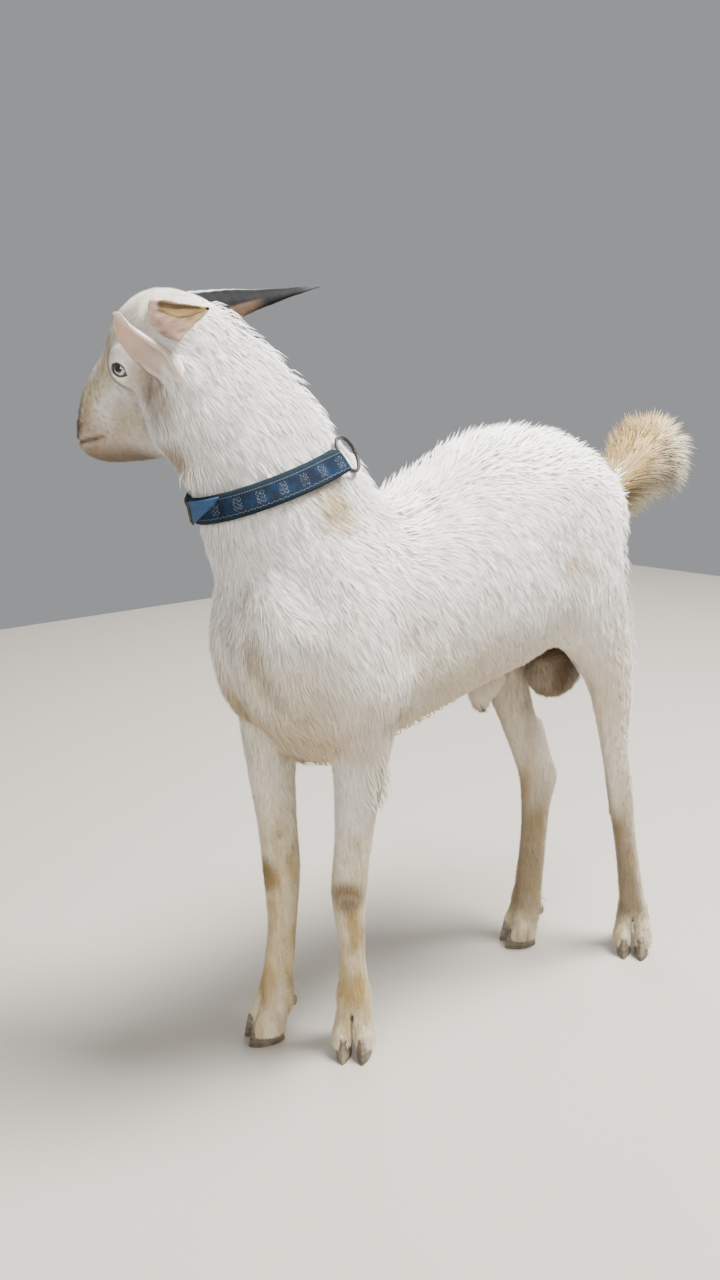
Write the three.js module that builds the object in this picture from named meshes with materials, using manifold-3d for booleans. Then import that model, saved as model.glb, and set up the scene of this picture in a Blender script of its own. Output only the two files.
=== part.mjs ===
// A standing goat at life size: a young male with short ears, flat twisted horns and a
// webbing collar with an iron ring. The body is one rounded form, made from named masses
// that run into each other, and it is parted into head, neck, trunk, tail and legs by thin
// plane cuts. Units are millimetres, +Z is up, the goat faces -X and its left side is -Y.
import * as THREE from 'three';
import { mergeVertices, mergeGeometries } from 'three/addons/utils/BufferGeometryUtils.js';
import Module from 'manifold-3d';

const wasm = await Module();
wasm.setup();
const { PI, cos, sin, abs, min, max, sqrt, hypot, round } = Math;
const V = (x, y, z) => new THREE.Vector3(x, y, z);
const rad = THREE.MathUtils.degToRad;
const mix = THREE.MathUtils.lerp;

// ---------------------------------------------------------------- driving dimensions
const GAP = 0.3;              // clear width of every parting cut
const FAR = 60;              // past this distance from a mass its exact form doesn't matter
const LEFT = -1, RIGHT = 1;   // sides of the body, as the sign of Y

// Head: its own frame has its origin on the poll, between the horns.
const POLL = V(-311, 35, 911);
const HEAD_TURN = rad(43);    // the head looks to the goat's right
const HEAD_ROLL = rad(9);     // and leans, with its left side down
const FORWARD = V(-cos(HEAD_TURN), sin(HEAD_TURN), 0);
const OUT = V(-sin(HEAD_TURN), -cos(HEAD_TURN), 0).applyAxisAngle(FORWARD, -HEAD_ROLL);
const UP = FORWARD.clone().cross(OUT);
const head = (forward, left, up) => POLL.clone()
  .addScaledVector(FORWARD, forward).addScaledVector(OUT, left).addScaledVector(UP, up);

// ---------------------------------------------------------------- rounded masses
// Each mass is a function of a point that is about the distance to its surface, and is
// negative inside. Two masses are blended over a width, so that flesh runs into flesh.
const blend = (a, b, width) => {
  const h = max(width - abs(a - b), 0) / width;
  return min(a, b) - h * h * width / 4;
};

// A chain is a run of oval sections on a smooth line through its stations. A station is
// [x, y, z, radius along the depth, radius across], and `across` is the second direction.
function chain(stations, { across = V(0, 1, 0), steps = 4, turn = null } = {}) {
  const line = new THREE.CatmullRomCurve3(stations.map((s) => V(s[0], s[1], s[2])));
  const smooth = (k, t) => {
    const i = min(stations.length - 2, Math.floor(t)), f = t - i;
    const at = (n) => stations[min(stations.length - 1, max(0, n))][k];
    const [p0, p1, p2, p3] = [at(i - 1), at(i), at(i + 1), at(i + 2)];
    return 0.5 * (2 * p1 + (p2 - p0) * f + (2 * p0 - 5 * p1 + 4 * p2 - p3) * f * f
      + (3 * p1 - p0 - 3 * p2 + p3) * f * f * f);
  };
  const n = (stations.length - 1) * steps;
  const nodes = Array.from({ length: n + 1 }, (_, i) => {
    const t = i / steps;
    return { c: line.getPoint(i / n), deep: smooth(3, t), wide: smooth(4, t) };
  });
  const links = nodes.slice(1).map((b, i) => {
    const a = nodes[i], axis = b.c.clone().sub(a.c), length = axis.length();
    axis.normalize();
    const side = (turn ? across.clone().applyAxisAngle(V(0, 0, 1), turn((i + 0.5) / n)) : across.clone());
    side.addScaledVector(axis, -side.dot(axis)).normalize();
    return { a, b, axis, length, side, deep: axis.clone().cross(side) };
  });
  const room = new THREE.Box3();
  for (const { c, deep, wide } of nodes) {
    const r = max(deep, wide);
    room.expandByPoint(V(c.x - r, c.y - r, c.z - r)).expandByPoint(V(c.x + r, c.y + r, c.z + r));
  }
  const q = V();
  return (p) => {
    const far = room.distanceToPoint(p);
    if (far > FAR) return far;
    let best = 1e9;
    for (const { a, b, axis, length, side, deep } of links) {
      q.copy(p).sub(a.c);
      const along = q.dot(axis), t = min(1, max(0, along / length));
      const rd = mix(a.deep, b.deep, t), rw = mix(a.wide, b.wide, t), cap = min(rd, rw);
      const u = q.dot(side) / rw, v = q.dot(deep) / rd, w = (along - t * length) / cap;
      const k0 = sqrt(u * u + v * v + w * w);
      const k1 = sqrt((u / rw) ** 2 + (v / rd) ** 2 + (w / cap) ** 2);
      best = min(best, k1 > 1e-9 ? k0 * (k0 - 1) / k1 : -cap);
    }
    return best;
  };
}

// An egg is an ellipsoid with its radii along three directions.
function egg(centre, radii, axes = [V(1, 0, 0), V(0, 1, 0), V(0, 0, 1)]) {
  const q = V();
  return (p) => {
    q.copy(p).sub(centre);
    const e = axes.map((axis, i) => q.dot(axis) / radii[i]);
    const k0 = hypot(...e), k1 = hypot(...e.map((x, i) => x / radii[i]));
    return k1 > 1e-9 ? k0 * (k0 - 1) / k1 : -min(...radii);
  };
}
const HEAD_AXES = [FORWARD, OUT, UP];
const headEgg = (f, l, u, radii) => egg(head(f, l, u), radii, HEAD_AXES);

// ---------------------------------------------------------------- the masses of the body
// Trunk sections from chest to rump: [x, top, bottom, half width].
const TRUNK = [
  [-246, 622, 470, 62], [-205, 648, 412, 86], [-150, 668, 394, 98], [-80, 674, 410, 104],
  [0, 704, 430, 112], [70, 739, 444, 115], [120, 749, 474, 108], [170, 738, 515, 94],
  [210, 716, 550, 72], [238, 684, 580, 48],
];
// Neck sections from the withers to the back of the head: [x, y, z, half depth, half width].
const NECK = [
  [-158, 0, 560, 112, 90], [-187, 0, 618, 109, 80], [-214, 1, 672, 103, 68],
  [-235, 5, 722, 89, 60], [-260, 13, 766, 84, 57], [-285, 24, 808, 79, 54],
  [-298, 34, 842, 62, 50],
];
// Each leg: its joints from the body down to the fetlock, the tip of its toe, and how far
// the foot turns out. Sizes are [radius fore and aft, radius across] at the same joints.
const FORE_SIZES = [[52, 42], [33, 29], [26, 23], [25, 22.5], [19.5, 16.5], [22, 20]];
const HIND_SIZES = [[63, 44], [33, 27], [26, 18.5], [25, 19], [21, 16], [22, 19.5]];
const LEGS = {
  fore_left: {
    side: LEFT, sizes: FORE_SIZES, toe: [-190, -40], turn: rad(50), top: 395, knee: 222,
    box: [-235, -95, -95, -6],
    line: [[-165, -66, 500], [-163, -44, 385], [-170, -34, 290], [-173, -24, 222],
      [-168, -17, 145], [-165, -12, 76]],
  },
  fore_right: {
    side: RIGHT, sizes: FORE_SIZES, toe: [-270, 84], turn: rad(15), top: 395, knee: 228,
    box: [-275, -140, 38, 120],
    line: [[-200, 74, 500], [-215, 72, 385], [-212, 72, 290], [-210, 72, 228],
      [-214, 73, 145], [-226, 74, 66]],
  },
  hind_left: {
    side: LEFT, sizes: HIND_SIZES, toe: [259, -90], turn: rad(40), top: 440, knee: 258,
    box: [110, 330, -140, -26],
    line: [[164, -70, 555], [216, -77, 425], [238, -69, 325], [255, -64, 258],
      [273, -62, 165], [294, -60, 60]],
  },
  hind_right: {
    side: RIGHT, sizes: HIND_SIZES, toe: [146, 59], turn: rad(22), top: 440, knee: 255,
    box: [90, 300, 24, 130],
    line: [[142, 70, 545], [156, 58, 410], [183, 51, 320], [204, 49, 255],
      [202, 50, 165], [188, 50, 66]],
  },
};
const toeWay = (leg) => V(-cos(leg.turn), leg.side * sin(leg.turn), 0);
const footSide = (leg) => toeWay(leg).cross(V(0, 0, 1));
const HOOF = { length: 48, width: 20, spread: 11.8, height: 25, slope: 0.32 };
// A digit runs from the fetlock to inside its hoof: [height, radius fore and aft, radius
// across]; the joint keeps its own height. The points of a hock: [back, up, radius].
const DIGIT = { apart: 8, back: 4, flare: 2.4, joint: [19, 14], middle: [48, 18.5, 13.5],
  hem: [25, 21, 14], inside: [8, 19, 10] };
const HOCK = [[4, 84, 8], [17, 26, 9], [25, -4, 11], [9, -42, 10]];
const DEW = { width: 6, tall: 9, back: 18, apart: 9, down: 18 };
const footCentre = (leg) => V(...leg.toe, 0).addScaledVector(toeWay(leg), -HOOF.length / 2);

const legMass = (leg) => {
  const across = V(0, 1, 0), way = toeWay(leg), side = footSide(leg);
  const bend = (t) => -leg.side * leg.turn * THREE.MathUtils.smoothstep(t, 0.1, 0.6);
  const shaft = chain(leg.line.map((joint, i) => [...joint, ...leg.sizes[i]]),
    { across, turn: bend });
  const parts = [[shaft, 20]];
  const fetlock = V(...leg.line[5]), foot = footCentre(leg);
  for (const s of [-1, 1]) {
    const from = fetlock.clone().addScaledVector(side, s * DIGIT.apart);
    const to = foot.clone().addScaledVector(side, s * HOOF.spread).addScaledVector(way, -DIGIT.back);
    const middle = from.clone().lerp(to, 0.5), hem = to.clone().addScaledVector(side, s * DIGIT.flare);
    parts.push([chain([[...from, ...DIGIT.joint], [middle.x, middle.y, ...DIGIT.middle],
      [hem.x, hem.y, ...DIGIT.hem], [to.x, to.y, ...DIGIT.inside]], { across: side }), 9]);
  }
  if (leg.sizes === HIND_SIZES) {
    const [x, y, z] = leg.line[3];
    parts.push([chain(HOCK.map(([back, up, r]) => [x - way.x * back, y - way.y * back, z + up, r, r * 0.8])),
      12]);
  }
  return (p) => parts.reduce((d, [mass, width]) => blend(d, mass(p), width), 1e3);
};
const legMasses = Object.fromEntries(Object.entries(LEGS).map(([k, leg]) => [k, legMass(leg)]));

const headChain = (stations) => chain(stations.map(([f, u, deep, wide]) => {
  const c = head(f, 0, u);
  return [c.x, c.y, c.z, deep, wide];
}), { across: OUT });
const trunkParts = [
  [chain(TRUNK.map(([x, top, bottom, half]) => [x, 0, (top + bottom) / 2, (top - bottom) / 2, half])), 30],
];
for (const s of [LEFT, RIGHT]) {
  trunkParts.push([egg(V(-185, s * 60, 540), [68, 46, 112]), 40]);  // shoulder
  trunkParts.push([egg(V(160, s * 54, 590), [72, 50, 104]), 36]);   // haunch
  trunkParts.push([egg(V(-262, s * 36, 530), [32, 42, 84]), 30]);   // breast
}
trunkParts.push([egg(V(-188, 8, 420), [52, 46, 36]), 30]);          // brisket
const trunkMass = (p) => trunkParts.reduce((d, [mass, width]) => blend(d, mass(p), width), 1e3);
const neckMass = chain(NECK);
const headParts = [
  [headEgg(18, 0, -54, [56, 46, 54]), 20],                          // brain case
  [headChain([[28, -64, 42, 40], [60, -88, 38, 32], [90, -114, 31, 24], [105, -138, 23, 21]]), 20],
  [headChain([[24, -128, 43, 34], [64, -144, 33, 26], [97, -155, 22, 19], [111, -154, 16, 15]]), 20],
];
for (const s of [-1, 1]) {
  headParts.push([headEgg(47, s * 35, -70, [22, 14, 20]), 14]);     // rim of the eye socket
}
const headMass = (p) => headParts.reduce((d, [mass, width]) => blend(d, mass(p), width), 1e3);
const body = (p) => {
  let d = blend(trunkMass(p), neckMass(p), 30);
  for (const mass of Object.values(legMasses)) d = blend(d, mass(p), 18);
  return blend(d, headMass(p), 26);
};
const tailMass = chain([[262, 0, 640, 30, 26], [296, 0, 664, 24, 22], [326, 0, 682, 38, 30]]);
const brush = egg(V(370, 0, 699), [84, 56, 71]);
const tuft = egg(V(334, 0, 656), [44, 34, 44]);
const tail = (p) => blend(blend(tailMass(p), brush(p), 20), tuft(p), 20);

const scrotum = egg(V(182, -7, 428), [42, 32, 37]);
const sheath = chain([[70, 0, 440, 26, 16], [60, 0, 420, 22, 14], [58, 0, 398, 12, 10], [60, 0, 360, 4, 4]]);

// ---------------------------------------------------------------- surfaces from masses
const slope = (field, p, d = 0.5) => V(
  field(V(p.x + d, p.y, p.z)) - field(V(p.x - d, p.y, p.z)),
  field(V(p.x, p.y + d, p.z)) - field(V(p.x, p.y - d, p.z)),
  field(V(p.x, p.y, p.z + d)) - field(V(p.x, p.y, p.z - d))).divideScalar(2 * d);
// A closed skin over a field: one corner of the skin in each cell the surface crosses, drawn
// on to the surface but kept a little inside its cell. Where two sheets of the surface share
// an edge, the grid is moved a little and the skin is drawn again.
const INSET = 0.06, NUDGE = 0.17;
function skin(field, low, high, step) {
  const n = low.map((l, i) => Math.ceil((high[i] - l) / step[i]) + 1);
  const at = (i, j, k) => (i * n[1] + j) * n[2] + k;
  const point = (i, j, k) => V(low[0] + i * step[0], low[1] + j * step[1], low[2] + k * step[2]);
  const value = new Float64Array(n[0] * n[1] * n[2]).fill(1);
  for (let i = 1; i < n[0] - 1; i++) for (let j = 1; j < n[1] - 1; j++)
    for (let k = 1; k < n[2] - 1; k++) value[at(i, j, k)] = field(point(i, j, k));
  const vertex = new Map(), positions = [], index = [];
  const corners = [0, 1, 2, 3, 4, 5, 6, 7].map((c) => [c & 1, (c >> 1) & 1, (c >> 2) & 1]);
  for (let i = 0; i < n[0] - 1; i++) for (let j = 0; j < n[1] - 1; j++)
    for (let k = 0; k < n[2] - 1; k++) {
      const v = corners.map(([a, b, c]) => value[at(i + a, j + b, k + c)]);
      if (v.every((x) => x < 0) || v.every((x) => x >= 0)) continue;
      const sum = V();
      let count = 0;
      for (let a = 0; a < 8; a++) for (const bit of [1, 2, 4]) {
        const b = a | bit;
        if (b === a || (v[a] < 0) === (v[b] < 0)) continue;
        const t = v[a] / (v[a] - v[b]), p = point(i, j, k), c = corners[a], d = corners[b];
        sum.add(V(p.x + mix(c[0], d[0], t) * step[0], p.y + mix(c[1], d[1], t) * step[1],
          p.z + mix(c[2], d[2], t) * step[2]));
        count++;
      }
      const p = sum.divideScalar(count), cell = new THREE.Box3(
        point(i + INSET, j + INSET, k + INSET), point(i + 1 - INSET, j + 1 - INSET, k + 1 - INSET));
      for (let r = 0; r < 3; r++) {
        const g = slope(field, p), g2 = max(g.lengthSq(), 0.25);
        p.addScaledVector(g, -field(p) / g2);
        cell.clampPoint(p, p);
      }
      vertex.set(at(i, j, k), positions.length / 3);
      positions.push(p.x, p.y, p.z);
    }
  const quad = (a, b, c, d, flip) => {
    const q = [a, b, c, d].map((x) => vertex.get(x));
    if (flip) q.reverse();
    index.push(q[0], q[1], q[2], q[0], q[2], q[3]);
  };
  for (let i = 0; i < n[0] - 1; i++) for (let j = 0; j < n[1] - 1; j++)
    for (let k = 0; k < n[2] - 1; k++) {
      const a = value[at(i, j, k)] < 0;
      if (j && k && a !== value[at(i + 1, j, k)] < 0)
        quad(at(i, j - 1, k - 1), at(i, j, k - 1), at(i, j, k), at(i, j - 1, k), !a);
      if (i && k && a !== value[at(i, j + 1, k)] < 0)
        quad(at(i - 1, j, k - 1), at(i - 1, j, k), at(i, j, k), at(i, j, k - 1), !a);
      if (i && j && a !== value[at(i, j, k + 1)] < 0)
        quad(at(i - 1, j - 1, k), at(i, j - 1, k), at(i, j, k), at(i - 1, j, k), !a);
    }
  const uses = new Map();
  for (let i = 0; i < index.length; i++) {
    const a = index[i], b = index[i % 3 === 2 ? i - 2 : i + 1];
    const key = min(a, b) * positions.length + max(a, b);
    uses.set(key, (uses.get(key) ?? 0) + 1);
  }
  if ([...uses.values()].some((n) => n !== 2)) {
    return skin(field, low.map((l, i) => l - step[i] * NUDGE), high, step);
  }
  const geometry = new THREE.BufferGeometry();
  geometry.setAttribute('position', new THREE.Float32BufferAttribute(positions, 3));
  geometry.setIndex(index);
  return geometry;
}

// ---------------------------------------------------------------- solids and cuts
const solid = (geometry) => {
  const bare = geometry.clone();
  bare.deleteAttribute('normal');
  bare.deleteAttribute('uv');
  const merged = mergeVertices(bare, 1e-4);
  return new wasm.Manifold(new wasm.Mesh({
    numProp: 3,
    vertProperties: new Float32Array(merged.attributes.position.array),
    triVerts: new Uint32Array(merged.index.array),
  }));
};
const shell = (manifold) => {
  const mesh = manifold.getMesh(), geometry = new THREE.BufferGeometry();
  geometry.setAttribute('position', new THREE.BufferAttribute(mesh.vertProperties, 3));
  geometry.setIndex(new THREE.BufferAttribute(mesh.triVerts, 1));
  return geometry;
};
// The space on the far side of a plane, and a little on the near side, as a block.
function beyond(point, normal, clear = GAP / 2) {
  const size = 1600, block = new THREE.BoxGeometry(size, size, size);
  block.translate(0, 0, size / 2 - clear);
  block.applyQuaternion(new THREE.Quaternion().setFromUnitVectors(V(0, 0, 1), normal));
  block.translate(point.x, point.y, point.z);
  return solid(block);
}
const block = (x0, x1, y0, y1, z0, z1) => {
  const b = new THREE.BoxGeometry(x1 - x0, y1 - y0, z1 - z0);
  b.translate((x0 + x1) / 2, (y0 + y1) / 2, (z0 + z1) / 2);
  return solid(b);
};
// A closed body through rings of points, each ring in turn, with a flat fan at both ends.
// The faces are turned outward whichever way round the rings run.
function loft(rings) {
  const n = rings[0].length, positions = rings.flat().flatMap((p) => [p.x, p.y, p.z]), index = [];
  const ends = [rings[0], rings[rings.length - 1]].map((ring) => {
    const c = ring.reduce((s, p) => s.add(p), V()).divideScalar(n);
    positions.push(c.x, c.y, c.z);
    return positions.length / 3 - 1;
  });
  for (let r = 0; r < rings.length - 1; r++) for (let i = 0; i < n; i++) {
    const a = r * n + i, b = r * n + (i + 1) % n;
    index.push(a, b, b + n, a, b + n, a + n);
  }
  const last = (rings.length - 1) * n;
  for (let i = 0; i < n; i++) {
    index.push(ends[0], (i + 1) % n, i, ends[1], last + i, last + (i + 1) % n);
  }
  const corner = (i) => V(...positions.slice(3 * index[i], 3 * index[i] + 3));
  let volume = 0;
  for (let i = 0; i < index.length; i += 3) {
    volume += corner(i).sub(rings[0][0]).dot(corner(i + 1).sub(rings[0][0])
      .cross(corner(i + 2).sub(rings[0][0])));
  }
  if (volume < 0) index.reverse();
  const geometry = new THREE.BufferGeometry();
  geometry.setAttribute('position', new THREE.Float32BufferAttribute(positions, 3));
  geometry.setIndex(index);
  return geometry;
}
const steps = (n, f) => Array.from({ length: n }, (_, i) => f(i));
const along = (t, values) => {
  const x = t * (values.length - 1), i = min(values.length - 2, Math.floor(x));
  return mix(values[i], values[i + 1], THREE.MathUtils.smoothstep(x - i, 0, 1) * 0.5 + (x - i) * 0.5);
};

// Evenly spaced points along a line, with their directions.
const stationsOf = (line, count) => steps(count, (i) => {
  const t = i / (count - 1);
  return { t, c: line.getPointAt(t), axis: line.getTangentAt(t) };
});

// ---------------------------------------------------------------- horns, ears and eyes
// A horn is a flat twisted blade. Its line runs out and back from beside the poll, and the
// right horn is swept further back than the left one.
const HORN = {
  tall: [16, 21, 17, 11, 6, 1.6], thick: [15, 13, 10, 6.5, 3.4, 1.2], twist: rad(60), lean: rad(14),
  sweep: { 1: 0.73, [-1]: 1.08 },
};
const hornLine = (s) => new THREE.CatmullRomCurve3([[12, 12, -36], [0, 38, -30], [-24, 66, -25],
  [-54, 92, -21], [-84, 120, -17], [-110, 155, -14]]
  .map(([f, l, u]) => head(12 + (f - 12) * HORN.sweep[s], s * l, u)));
function horn(s) {
  const sides = 8;
  return loft(stationsOf(hornLine(s), 10).map(({ t, c, axis }) => {
    const up = UP.clone().addScaledVector(axis, -UP.dot(axis)).normalize();
    const side = axis.clone().cross(up), roll = -s * (HORN.twist * t + HORN.lean);
    const tall = along(t, HORN.tall), thick = along(t, HORN.thick);
    return steps(sides, (k) => {
      const a = (k / sides) * 2 * PI;
      const u = thick * cos(a), v = tall * sin(a) * (1 - 0.12 * cos(2 * a));
      return c.clone().addScaledVector(side, u * cos(roll) - v * sin(roll))
        .addScaledVector(up, u * sin(roll) + v * cos(roll));
    });
  }));
}
// An ear is a cupped leaf: a bent strip that narrows to a rounded tip.
const EAR = {
  half: [16, 24, 24, 20, 15, 9, 2.5], cup: [2.5, 2.4, 1.8, 1.25, 1.05, 0.95, 0.8], thick: 2.6,
  left: [[-8, 30, -80], [-4, 54, -67], [2, 76, -52], [9, 95, -42], [16, 111, -29], [16, 127, -16]],
  right: [[-14, 30, -76], [-14, 56, -78], [-12, 80, -74], [-9, 103, -68], [-5, 124, -60], [0, 142, -50]],
};
function ear(s) {
  const pose = s > 0 ? EAR.left : EAR.right;
  const line = new THREE.CatmullRomCurve3(pose.map(([f, l, u]) => head(f, s * l, u)));
  const opening = head(0.05, s * 0.8, -0.6).sub(POLL);
  const across = 5;
  return loft(stationsOf(line, 9).map(({ t, c, axis }) => {
    const open = opening.clone().addScaledVector(axis, -opening.dot(axis)).normalize();
    const rim = axis.clone().cross(open);
    const half = along(t, EAR.half), cup = along(t, EAR.cup), thick = EAR.thick / 2;
    const leaf = (a, off) => {
      const angle = a * cup, r = half / cup;
      return c.clone().addScaledVector(rim, (r - off) * sin(angle))
        .addScaledVector(open, r - (r - off) * cos(angle));
    };
    return [...steps(across, (k) => leaf(-1 + 2 * k / (across - 1), -thick)),
      ...steps(across, (k) => leaf(1 - 2 * k / (across - 1), thick))];
  }));
}
const EYE = { radius: 12, at: [50, 40, -74] };
const eye = (s, grow = 0) => {
  const ball = new THREE.SphereGeometry(EYE.radius + grow, 10, 7);
  const c = head(EYE.at[0], s * EYE.at[1], EYE.at[2]);
  ball.translate(c.x, c.y, c.z);
  return ball;
};

// ---------------------------------------------------------------- hooves and dew claws
function hoof(leg, s) {
  const way = toeWay(leg), side = footSide(leg).multiplyScalar(s), count = 12;
  const centre = footCentre(leg).addScaledVector(side, HOOF.spread);
  const outline = (half, width, shift, height) => steps(count, (i) => {
    const a = (i / count) * 2 * PI, nose = 1 - 0.35 * max(cos(a), 0) ** 2;
    const out = sin(a) * nose * (sin(a) < 0 ? 0.85 : 1);
    const f = cos(a) * half + shift;
    const p = centre.clone().addScaledVector(way, f).addScaledVector(side, out * width / 2);
    return p.setZ(height(f));
  });
  const top = (f) => HOOF.height + HOOF.slope * f - GAP;
  const flat = outline(HOOF.length / 2, HOOF.width, 0, () => 0);
  const crown = outline(HOOF.length * 0.41, HOOF.width * 0.96, -3, top);
  return loft([flat, crown]);
}
function dewClaw(leg, s, grow = 0) {
  const way = toeWay(leg), side = footSide(leg), fetlock = V(...leg.line[5]);
  const claw = new THREE.SphereGeometry(1, 6, 4);
  claw.scale(DEW.width + grow, DEW.width + grow, DEW.tall + grow);
  const c = fetlock.addScaledVector(way, -DEW.back).addScaledVector(side, s * DEW.apart);
  claw.translate(c.x, c.y, c.z - DEW.down);
  return claw;
}

// ---------------------------------------------------------------- collar
// The strap lies on the coat along a tilted plane round the neck. Its two ends are pockets
// that hold the wire of a ring, which rests on the left side of the nape.
const COLLAR = {
  centre: V(-236, 0, 713), tilt: rad(17), width: 28, thick: 2.6, clear: 2.6,
  from: rad(-42), to: rad(-352), pocket: 7.5, pocketLength: rad(14), layer: 1.3,
  over: 3.4,
};
const WRAP_SPAN = [rad(-186), rad(-206)], FOLD_SPAN = [rad(-158), rad(-184)], FOLD_DEPTH = 23;
const RING = { seat: V(-166, -34, 732), radius: 20, wire: 2.1, clear: 1 };
const collarUp = V(-sin(COLLAR.tilt), 0, cos(COLLAR.tilt));
const collarBack = V(cos(COLLAR.tilt), 0, sin(COLLAR.tilt));
// A point of the strap: the angle round the neck from the nape, how far up the strap's
// width, and how far off the coat.
function onCollar(angle, up, off) {
  const way = collarBack.clone().multiplyScalar(cos(angle)).add(V(0, sin(angle), 0));
  const start = COLLAR.centre.clone().addScaledVector(collarUp, up);
  let near = 20, far = 200;
  for (let i = 0; i < 24; i++) {
    const middle = (near + far) / 2;
    if (body(start.clone().addScaledVector(way, middle)) < COLLAR.clear) near = middle; else far = middle;
  }
  return start.addScaledVector(way, near + off);
}
function strap(from, to, count, low, high, inner, outer) {
  return loft(steps(count, (i) => {
    const t = i / (count - 1), a = mix(from, to, t);
    return [onCollar(a, low(t), inner), onCollar(a, high(t), inner),
      onCollar(a, high(t), outer(a)), onCollar(a, low(t), outer(a))];
  }));
}
// The ring faces the way the coat does at its seat, and is lifted until its wire is clear.
const ringBody = (grow = 0) => {
  const facing = slope(body, RING.seat).normalize(), centre = RING.seat.clone();
  const turn = new THREE.Quaternion().setFromUnitVectors(V(0, 0, 1), facing);
  const rim = steps(24, (i) => V(RING.radius, 0, 0)
    .applyAxisAngle(V(0, 0, 1), (i / 24) * 2 * PI).applyQuaternion(turn));
  while (min(...rim.map((r) => body(r.clone().add(centre)))) < RING.wire + RING.clear) {
    centre.addScaledVector(facing, 0.5);
  }
  const torus = new THREE.TorusGeometry(RING.radius, RING.wire + grow, 6, 20);
  torus.applyQuaternion(turn);
  torus.translate(centre.x, centre.y, centre.z);
  return torus;
};

// ---------------------------------------------------------------- the goat
const group = new THREE.Group();
const COAT = 0xece6da, HORNY = 0x9a8a78, SKIN_PINK = 0xd8b8a6;
const add = (name, geometry, color, roughness = 0.9, metalness = 0) => {
  const mesh = new THREE.Mesh(geometry, new THREE.MeshStandardMaterial({ color, roughness, metalness }));
  mesh.name = name;
  group.add(mesh);
};
const both = (f) => f(1).add(f(-1));
const NAPE = { at: head(-42, 0, -105), way: FORWARD.clone().multiplyScalar(0.945).add(V(0, 0, 0.327)) };
const WITHERS = { at: V(-205, 0, 650), way: V(-0.526, 0, 0.85).normalize() };
const DOCK = { at: V(272, 0, 655), way: V(0.85, 0, 0.53).normalize() };

// The flesh with a clear gap round it, which whatever stands on the body is cut back to.
// Each box is the low corner, the high corner and the size of the skin's cells.
const HEAD_BOX = [[-470, -80, 700], [-225, 160, 930], [14, 14, 14]];
const NECK_BOX = [[-400, -130, 520], [-60, 130, 930], [25.5, 25.5, 25.5]];
const TRUNK_BOX = [[-350, -160, 330], [300, 160, 800], [35, 31, 32]];
const TAIL_BOX = [[240, -80, 590], [480, 80, 790], [25.5, 25.5, 25.5]];
const SCROTUM_BOX = [[140, -42, 370], [240, 40, 480], [16, 14, 18]];
const SHEATH_BOX = [[30, -30, 340], [110, 30, 476], [13, 11, 19]];
const LEG_CELLS = [14, 13, 27], LEG_ROOM = 24;
const clearOf = (box) => solid(skin((p) => body(p) - 2 * GAP, ...box));
const headClear = clearOf(HEAD_BOX), trunkClear = clearOf(TRUNK_BOX);

add('head', shell(solid(skin(body, ...HEAD_BOX))
  .subtract(beyond(NAPE.at, NAPE.way.clone().negate()))
  .subtract(both((s) => solid(eye(s, GAP))))), COAT);
for (const [side, s] of [['left', 1], ['right', -1]]) {
  add('horn_' + side, shell(solid(horn(s)).subtract(headClear)), HORNY, 0.6);
  add('ear_' + side, shell(solid(ear(s)).subtract(headClear)), SKIN_PINK);
  add('eye_' + side, eye(s), 0x4a4438, 0.1);
}
add('neck', shell(solid(skin(body, ...NECK_BOX))
  .subtract(beyond(NAPE.at, NAPE.way))
  .subtract(beyond(WITHERS.at, WITHERS.way.clone().negate()))), COAT);

const cutters = Object.values(LEGS).map((leg) => {
  const [x0, x1, y0, y1] = leg.box;
  return (grow) => block(x0 - grow, x1 + grow, y0 - grow, y1 + grow, -50, leg.top + grow);
});
let trunk = solid(skin(body, ...TRUNK_BOX))
  .subtract(beyond(WITHERS.at, WITHERS.way))
  .subtract(beyond(DOCK.at, DOCK.way));
for (const cutter of cutters) trunk = trunk.subtract(cutter(GAP));
add('trunk', shell(trunk), COAT);
add('tail', shell(solid(skin(tail, ...TAIL_BOX))
  .subtract(beyond(DOCK.at, DOCK.way.clone().negate()))), COAT);

Object.entries(LEGS).forEach(([name, leg], i) => {
  const [x0, x1, y0, y1] = leg.box;
  const foot = footCentre(leg), way = toeWay(leg);
  const crown = way.clone().multiplyScalar(-HOOF.slope).add(V(0, 0, 1)).normalize();
  const limb = solid(skin(body, [x0 - LEG_ROOM, y0 - LEG_ROOM, -4],
    [x1 + LEG_ROOM, y1 + LEG_ROOM, leg.top + 44], LEG_CELLS))
    .intersect(cutters[i](0))
    .subtract(beyond(V(foot.x, foot.y, HOOF.height), crown.clone().negate(), 0))
    .subtract(both((s) => solid(dewClaw(leg, s, GAP))));
  const knee = V(0, 0, leg.knee), up = V(0, 0, 1);
  add(name + '_upper', shell(limb.subtract(beyond(knee, up.clone().negate()))), COAT);
  add(name + '_lower', shell(limb.subtract(beyond(knee, up))), COAT);
  for (const [claw, s] of [['inner', -leg.side], ['outer', leg.side]]) {
    add(name + '_hoof_' + claw, hoof(leg, s), HORNY, 0.55);
    add(name + '_dew_claw_' + claw, dewClaw(leg, s), HORNY, 0.55);
  }
});
add('scrotum', shell(solid(skin(scrotum, ...SCROTUM_BOX))
  .subtract(trunkClear)), COAT);
add('sheath', shell(solid(skin(sheath, ...SHEATH_BOX))
  .subtract(trunkClear)), COAT);

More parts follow.
